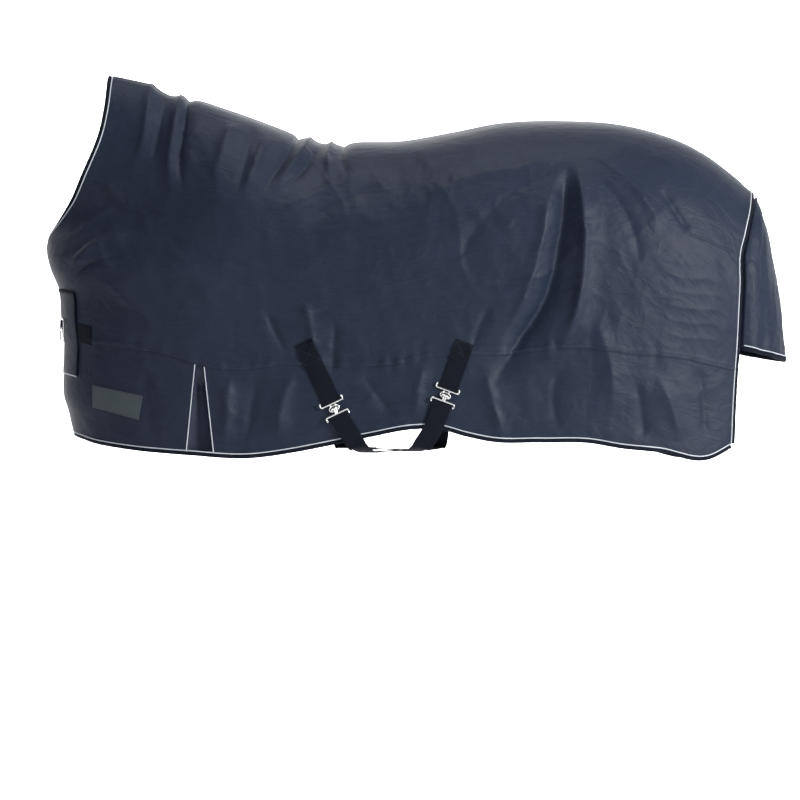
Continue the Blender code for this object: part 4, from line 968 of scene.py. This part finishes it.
def ring(half_x, half_y, centre, square=2.0, count=48):
    turns = np.linspace(0, 2 * math.pi, count, endpoint=False)
    c, s = np.cos(turns), np.sin(turns)
    return np.stack([centre[0] + half_x * np.sign(c) * np.abs(c) ** (2 / square),
                     centre[1] + half_y * np.sign(s) * np.abs(s) ** (2 / square),
                     np.full(count, centre[2])], -1)


def webbing(name, centres, acrosses, width, thick, material, count=160):
    """Flat webbing along centres, each with its own direction across."""
    points, sides = spline(centres, count), spline(acrosses, count)
    ahead = np.gradient(points, axis=0)
    normals = np.cross(sides, ahead)
    normals /= np.linalg.norm(normals, axis=1, keepdims=True)
    piece = sweep(name, points, normals, round_profile(width / 2, thick / 2, 20, 7.0), material)
    return piece, points, normals


for where in ("front", "rear"):
    (x0, z0), (x1, z1) = NEAR_TABS[where]
    down = unit((x1 - x0, 0.0, z1 - z0))
    across = np.array([-down[2], 0.0, down[0]])
    tab = strip(f"tab_{where}", -1, NEAR_TABS[where], across, WEBBING, WEB_LOW, WEB_HIGH, WEB)
    dress(tab, "rug_body", "webbing", f"surcingle_tab_{where}")
    slope = across[2] / across[0]
    centre = (x0 + (x1 - x0) * 0.20, z0 + (z1 - z0) * 0.20)
    box_stitch(f"tab_stitch_{where}", -1, centre, 0.0185, 0.0200, slope, WEB_HIGH + 0.0001)
    edge = on_cloth(np.array([x1]), np.array([z1]), -1, WEB_HIGH + CLASP_WIRE + 0.0003)[0]
    bar = edge + down * 0.0008
    side_on = unit(np.array([1.0, 0, 0]) - down[0] * down)
    up = -down
    at = (bar, side_on, up)
    pieces = [wire(f"plate_bar_{where}", bar_with_ends(1), at, CLASP_WIRE),
              wire(f"plate_ring_{where}", ring(0.0125, 0.0068, (0, -0.0130, 0)), at, THIN_WIRE, True)]
    for k, x in enumerate((-0.0065, 0.0065)):
        prong = [(x, 0.0, 0.0), (x, -0.004, 0.0004), (x, -0.0085, 0.0)]
        pieces.append(wire(f"plate_prong_{where}_{k}", spline(prong, 12), at, THIN_WIRE))
    for piece in pieces:
        dress(piece, "rug_body", "nickel")
    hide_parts(f"clasp_plate_{where}")
    hook = bar + down * CLASP_REACH + np.array([0.0, -0.0038, 0.0])
    body = f"clasp_hook_{where}_body"
    at = (hook, side_on, up)
    head = [(-0.0085, 0.0120, 0.0), (-0.004, 0.0142, 0.0006), (0, 0.0146, 0.0008),
            (0.004, 0.0142, 0.0006), (0.0085, 0.0120, 0.0)]
    pieces = [wire(f"hook_bar_{where}", bar_with_ends(-1), at, CLASP_WIRE),
              wire(f"hook_head_{where}", spline(head, 30), at, 0.0021)]
    for k, x in enumerate((-0.0024, 0.0024)):
        neck = [(x, 0.0, 0.0), (x, 0.007, 0.0003), (x, 0.0140, 0.0006)]
        pieces.append(wire(f"hook_neck_{where}_{k}", spline(neck, 14), at, THIN_WIRE))
    for piece in pieces:
        dress(piece, body, "nickel")
    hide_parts(f"clasp_hook_{where}")

    fore = -1 if where == "front" else 1
    start_x, end_x = STRAP_CROSS_X + fore * STRAP_SPREAD, STRAP_CROSS_X - fore * STRAP_SPREAD
    low = STRAP_LOW_Z + fore * 0.0022
    hem_point = on_cloth(np.array([start_x - fore * 0.040]), np.array([-0.690]), -1, 0.002)[0]
    beside = abs(hem_point[1]) + 0.0056
    level = np.array([1.0, 0.0, 0.0])
    flat = unit((1.0, fore * 0.32, 0.0))
    centres = [hook + down * 0.0016,
               (start_x - fore * 0.024, -beside, -0.6980), (start_x - fore * 0.046, -beside, -0.7340),
               (start_x - fore * 0.062, -beside + 0.014, -0.7500),
               (start_x - fore * 0.078, -beside + 0.060, low),
               (STRAP_CROSS_X + fore * 0.040, -0.150, low), (STRAP_CROSS_X, 0.0, low),
               (STRAP_CROSS_X - fore * 0.048, 0.130, low), (STRAP_CROSS_X - fore * 0.088, 0.250, low),
               (end_x + fore * 0.018, STRAP_PIVOT_Y - 0.022, -0.7545),
               (end_x + fore * 0.006, STRAP_PIVOT_Y - 0.002, -0.7420),
               (end_x, STRAP_PIVOT_Y, STRAP_PIVOT_Z - 0.0005)]
    acrosses = [across, unit(across + level), level, unit(flat + level), flat, flat, flat, flat, flat,
                level, level, level]
    strap, run, normals = webbing(f"strap_{where}", centres, acrosses, WEBBING, 0.0020, WEB)
    dress(strap, f"surcingle_{where}_body", "webbing", f"surcingle_strap_{where}")
    off_top = NEAR_TABS["rear" if where == "front" else "front"][0][0]
    anchor_ends = ((off_top, TAB_TOP_Z), (end_x, STRAP_PIVOT_Z))
    anchor = strip(f"anchor_{where}", 1, anchor_ends, (1, 0, 0), WEBBING, WEB_LOW, WEB_HIGH, WEB, 60,
                   free_y=STRAP_PIVOT_Y)
    dress(anchor, "rug_body", "webbing", f"surcingle_anchor_{where}")
    box_stitch(f"anchor_stitch_{where}", 1, (off_top + (end_x - off_top) * 0.14, TAB_TOP_Z - 0.030),
               0.0185, 0.0200, 0.0, WEB_HIGH + 0.0001)
    a, b = np.array(centres[7], float), np.array(centres[8], float)
    along = unit(b - a)
    middle = a + along * 0.030
    cross = unit(flat - along * (flat @ along))
    under = np.cross(along, cross)
    under = under if under[2] < 0 else -under
    frame_out = np.cross(cross, along)
    lift = 0.0030 if frame_out @ under > 0 else -0.0030
    at = (middle, cross, along)
    middle_bar = [(x, 0, lift) for x in (-SLIDER_HALF, -0.013, 0, 0.013, SLIDER_HALF)]
    back = ring(SLIDER_HALF, 0.0060, (0, 0, -lift * 0.75), 6.0)
    outer = ring(SLIDER_HALF, 0.0125, (0, 0, lift), 6.0)
    loops = [wire(f"slider_frame_{where}", outer, at, 0.0017, True),
             wire(f"slider_bar_{where}", middle_bar, at, 0.0015),
             wire(f"slider_back_{where}", back, at, 0.0012, True)]
    for piece in loops:
        dress(piece, f"slider_{where}_body", "nickel")
    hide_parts(f"surcingle_slider_{where}")

# ---------------------------------------------------------------- chest closure
PLACKET_TOP_Z, PLACKET_LOW_Z = -0.358, -0.562
PLACKET_NEAR, PLACKET_OFF = -0.128, 0.118
CHEST_STRAP_Z, PLACKET_LIFT = -0.455, 0.0030


def chest_shell(name, y_range, z_range, low, high, material, cols=80, rows=60, wave=0.0):
    y, z = np.meshgrid(np.linspace(*y_range, cols), np.linspace(*z_range, rows))
    bump = wave * lattice_noise(y * 30 + 4, z * 26 + 9, 31)
    return shell(name, chest_at(y, z, high + bump), chest_at(y, z, low + bump), material, 1)


placket = chest_shell("placket_cloth", (PLACKET_NEAR, PLACKET_OFF), (PLACKET_TOP_Z, PLACKET_LOW_Z),
                      PLACKET_LIFT, PLACKET_LIFT + 0.0016, CLOTH, 110, 84, 0.0004)
dress(placket, "chest_flap_body", "outer_cloth", "chest_placket")
y_run = np.linspace(PLACKET_NEAR, PLACKET_OFF, 120)


def chest_edge(name, y, z, lift, profile, material, slot, *nodes):
    y, z = np.broadcast_arrays(np.asarray(y, float), np.asarray(z, float))
    points = chest_at(y, z, lift)
    outward = points - chest_at(y, z, lift - 0.003)
    outward /= np.linalg.norm(outward, axis=1, keepdims=True)
    piece = sweep(name, points, outward, profile, material)
    return dress(piece, "chest_flap_body", slot, *nodes)


chest_edge("placket_trim", y_run, PLACKET_LOW_Z - 0.0016, PLACKET_LIFT + 0.0012,
           round_profile(0.0017, 0.0017, 10), CORD, "reflective_piping", "chest_placket_piping")
z_run = np.linspace(PLACKET_TOP_Z, PLACKET_LOW_Z, 80)
for name, y, z in (("near", PLACKET_NEAR, z_run), ("top", y_run, PLACKET_TOP_Z)):
    chest_edge(f"placket_tape_{name}", y, z, PLACKET_LIFT + 0.0009,
               round_profile(0.0045, 0.0016, 12, 3.0), TAPE, "binding")
for k, z in enumerate((PLACKET_LOW_Z + 0.006, PLACKET_TOP_Z - 0.008)):
    points = chest_at(y_run, np.full_like(y_run, z), PLACKET_LIFT + 0.0018)
    outward = points - chest_at(y_run, np.full_like(y_run, z), 0.0)
    stitches(f"placket_stitch_{k}", points, outward, "chest_flap_body")

strap_low = PLACKET_LIFT + 0.0020
band = (CHEST_STRAP_Z + WEBBING / 2, CHEST_STRAP_Z - WEBBING / 2)
strap = chest_shell("chest_webbing", (-0.0320, PLACKET_OFF - 0.004), band, strap_low,
                    strap_low + 0.0020, WEB, 80, 9)
dress(strap, "chest_flap_body", "webbing", "chest_strap")
billet = chest_shell("chest_billet_webbing", (-0.172, PLACKET_NEAR - 0.0050), band, 0.0020, 0.0040,
                     WEB, 24, 9)
dress(billet, "rug_body", "webbing", "chest_billet")
middle = chest_at(np.array([-0.056]), np.array([CHEST_STRAP_Z]), strap_low + 0.0050)[0]
ends = chest_at(np.array([-0.080, -0.032]), np.array([CHEST_STRAP_Z] * 2), strap_low)
side_on, up = unit(ends[0] - ends[1]), np.array([0.0, 0.0, 1.0])
out = np.cross(side_on, up)
flip = 1.0 if out[0] < 0 else -1.0
at = (middle, side_on, up)
buckle = wire("buckle_frame", ring(0.0215, 0.0270, (0, 0, 0), 5.0, 60), at, 0.0021, True)
dress(buckle, "chest_flap_body", "nickel", "chest_buckle_frame")
bent = [(0.0195, 0, 0.0), (0.012, 0, 0.0030 * flip), (0.0, 0, 0.0046 * flip),
        (-0.0225, 0, 0.0040 * flip)]
tongue = wire("buckle_tongue", spline(bent, 24), at, 0.0017)
dress(tongue, "chest_tongue_body", "nickel", "chest_buckle_tongue")
z = CHEST_STRAP_Z + np.linspace(-1, 1, 25) * 0.0262
bulge = strap_low + 0.0036 - 0.0010 * np.abs(np.linspace(-1, 1, 25)) ** 8
points = chest_at(np.full(25, 0.050), z, bulge)
outward = points - chest_at(np.full(25, 0.050), z, bulge - 0.003)
keeper = sweep("keeper_loop", points, outward / np.linalg.norm(outward, axis=1, keepdims=True),
               round_profile(0.0060, 0.0009, 14, 5.0), WEB)
dress(keeper, "chest_keeper_body", "webbing", "chest_keeper")

# ---------------------------------------------------------------- patch and leg rings
PATCH_X, PATCH_Z, PATCH_HEIGHT = (-0.577, -0.450), (-0.596, -0.622), 0.058
a, b = np.meshgrid(np.linspace(0, 1, 40), np.linspace(0, 1, 20))
patch_x = PATCH_X[0] + (PATCH_X[1] - PATCH_X[0]) * a - 0.010 * b * a
patch_z = PATCH_Z[0] + (PATCH_Z[1] - PATCH_Z[0]) * a - PATCH_HEIGHT * b * (0.92 + 0.08 * a)
patch_faces = [on_cloth(patch_x, patch_z, -1, lift) for lift in (0.0029, 0.0018)]
patch = shell("sewn_patch", *patch_faces, PATCH, -1)
dress(patch, "rug_body", "patch", "reflective_patch")
inner = slice(1, -1)
for k, (row, col) in enumerate(((1, inner), (-2, inner), (inner, 1), (inner, -2))):
    u, t = find(patch_x[row, col], patch_z[row, col])
    stitches(f"patch_stitch_{k}", cloth(u, t, -1, 0.0030), form_normal(u, t) * mirror(-1), "rug_body")

RING_HALF = 0.0165
for word, side in SIDES.items():
    x, top_z, low_z = 0.955, -0.585, -0.655
    lift = -0.0086
    z = np.linspace(top_z, low_z, 16)
    centres = on_cloth(np.full(16, x), z, side, lift)
    pair = on_cloth(np.array([x - 0.02, x + 0.02]), np.array([low_z] * 2), side, lift)
    along = (pair[1] - pair[0]) * np.array([1.0, 1.0, 0.0])
    along = unit(along)
    tab, _, _ = webbing(f"ring_tab_{word}", centres, [along] * 16, 0.026, 0.0020, WEB, 40)
    dress(tab, "rug_body", "webbing", f"leg_ring_tab_{word}")
    top = centres[-1] + np.array([0, 0, -0.0024])
    turns = np.linspace(0, math.pi, 30)
    loop = [top + along * RING_HALF * math.cos(a) - np.array([0, 0, 1.45 * RING_HALF * math.sin(a)])
            for a in turns]
    loop += [top - along * RING_HALF * (1 - 2 * k / 8) for k in range(1, 8)]
    dee = cord(f"dee_ring_{word}", np.array(loop), 0.0020, NICKEL, True)
    dress(dee, f"leg_ring_{word}_body", "nickel", f"leg_ring_{word}")
    box_stitch(f"ring_stitch_{word}", side, (0.956, -0.586), 0.0165, 0.0260, 0.0, 0.0018)

# ---------------------------------------------------------------- cloth sizes
for name, (piece, (width, length, area)) in layers.items():
    flat = (round(width, 3), round(length, 3))

# ---------------------------------------------------------------- studio
def studio_plane(name, corners, colour, glow):
    data = bpy.data.meshes.new(name)
    data.from_pydata(corners, [], [tuple(range(len(corners)))])
    made, shader, _, _ = nodes_of(name, 0.9)
    shader.inputs["Base Color"].default_value = (*colour, 1.0)
    shader.inputs["Emission Color"].default_value = (1.0, 1.0, 1.0, 1.0)
    shader.inputs["Emission Strength"].default_value = glow
    data.materials.append(made)
    piece = bpy.data.objects.new(name, data)
    bpy.context.scene.collection.objects.link(piece)
    return piece


FLOOR_Z = -1.607
studio_plane("floor", [(-14, -16, FLOOR_Z), (14, -16, FLOOR_Z), (14, 9, FLOOR_Z), (-14, 9, FLOOR_Z)],
             (0.90, 0.90, 0.90), 0.15)
studio_plane("backdrop", [(-14, 9, FLOOR_Z), (14, 9, FLOOR_Z), (14, 9, 12), (-14, 9, 12)],
             (0.95, 0.95, 0.95), 0.70)


def softbox(name, place, target, size, power, colour=(1.0, 1.0, 1.0)):
    lamp = bpy.data.lights.new(name, "AREA")
    lamp.shape, lamp.size, lamp.energy, lamp.color = "SQUARE", size, power, colour
    holder = bpy.data.objects.new(name, lamp)
    holder.location = place
    holder.rotation_euler = (Vector(target) - Vector(place)).to_track_quat("-Z", "Y").to_euler()
    bpy.context.scene.collection.objects.link(holder)
    return holder


softbox("key", (5.2, -3.9, 1.3), (0.3, 0, -0.3), 1.4, 560.0)
softbox("top", (0.2, -0.6, 3.6), (0.2, 0, -0.3), 2.0, 80.0)
softbox("fill", (-4.2, -5.0, 0.8), (0.0, 0, -0.4), 3.0, 55.0, (0.96, 0.98, 1.0))
softbox("behind", (0.2, 5.5, 3.4), (0.2, 9.0, 0.0), 4.0, 700.0)

world = bpy.data.worlds.new("studio")
world.use_nodes = True
world.node_tree.nodes["Background"].inputs["Color"].default_value = (0.94, 0.96, 1.0, 1.0)
world.node_tree.nodes["Background"].inputs["Strength"].default_value = 0.25
bpy.context.scene.world = world

lens = bpy.data.cameras.new("camera")
lens.lens, lens.sensor_width = 171.0, 36.0
camera = bpy.data.objects.new("camera", lens)
camera.location = (0.175, -9.5, -0.632)
camera.rotation_euler = (math.pi / 2, 0.0, 0.0)
bpy.context.scene.collection.objects.link(camera)
bpy.context.scene.camera = camera
bpy.context.scene.view_settings.view_transform = "Standard"
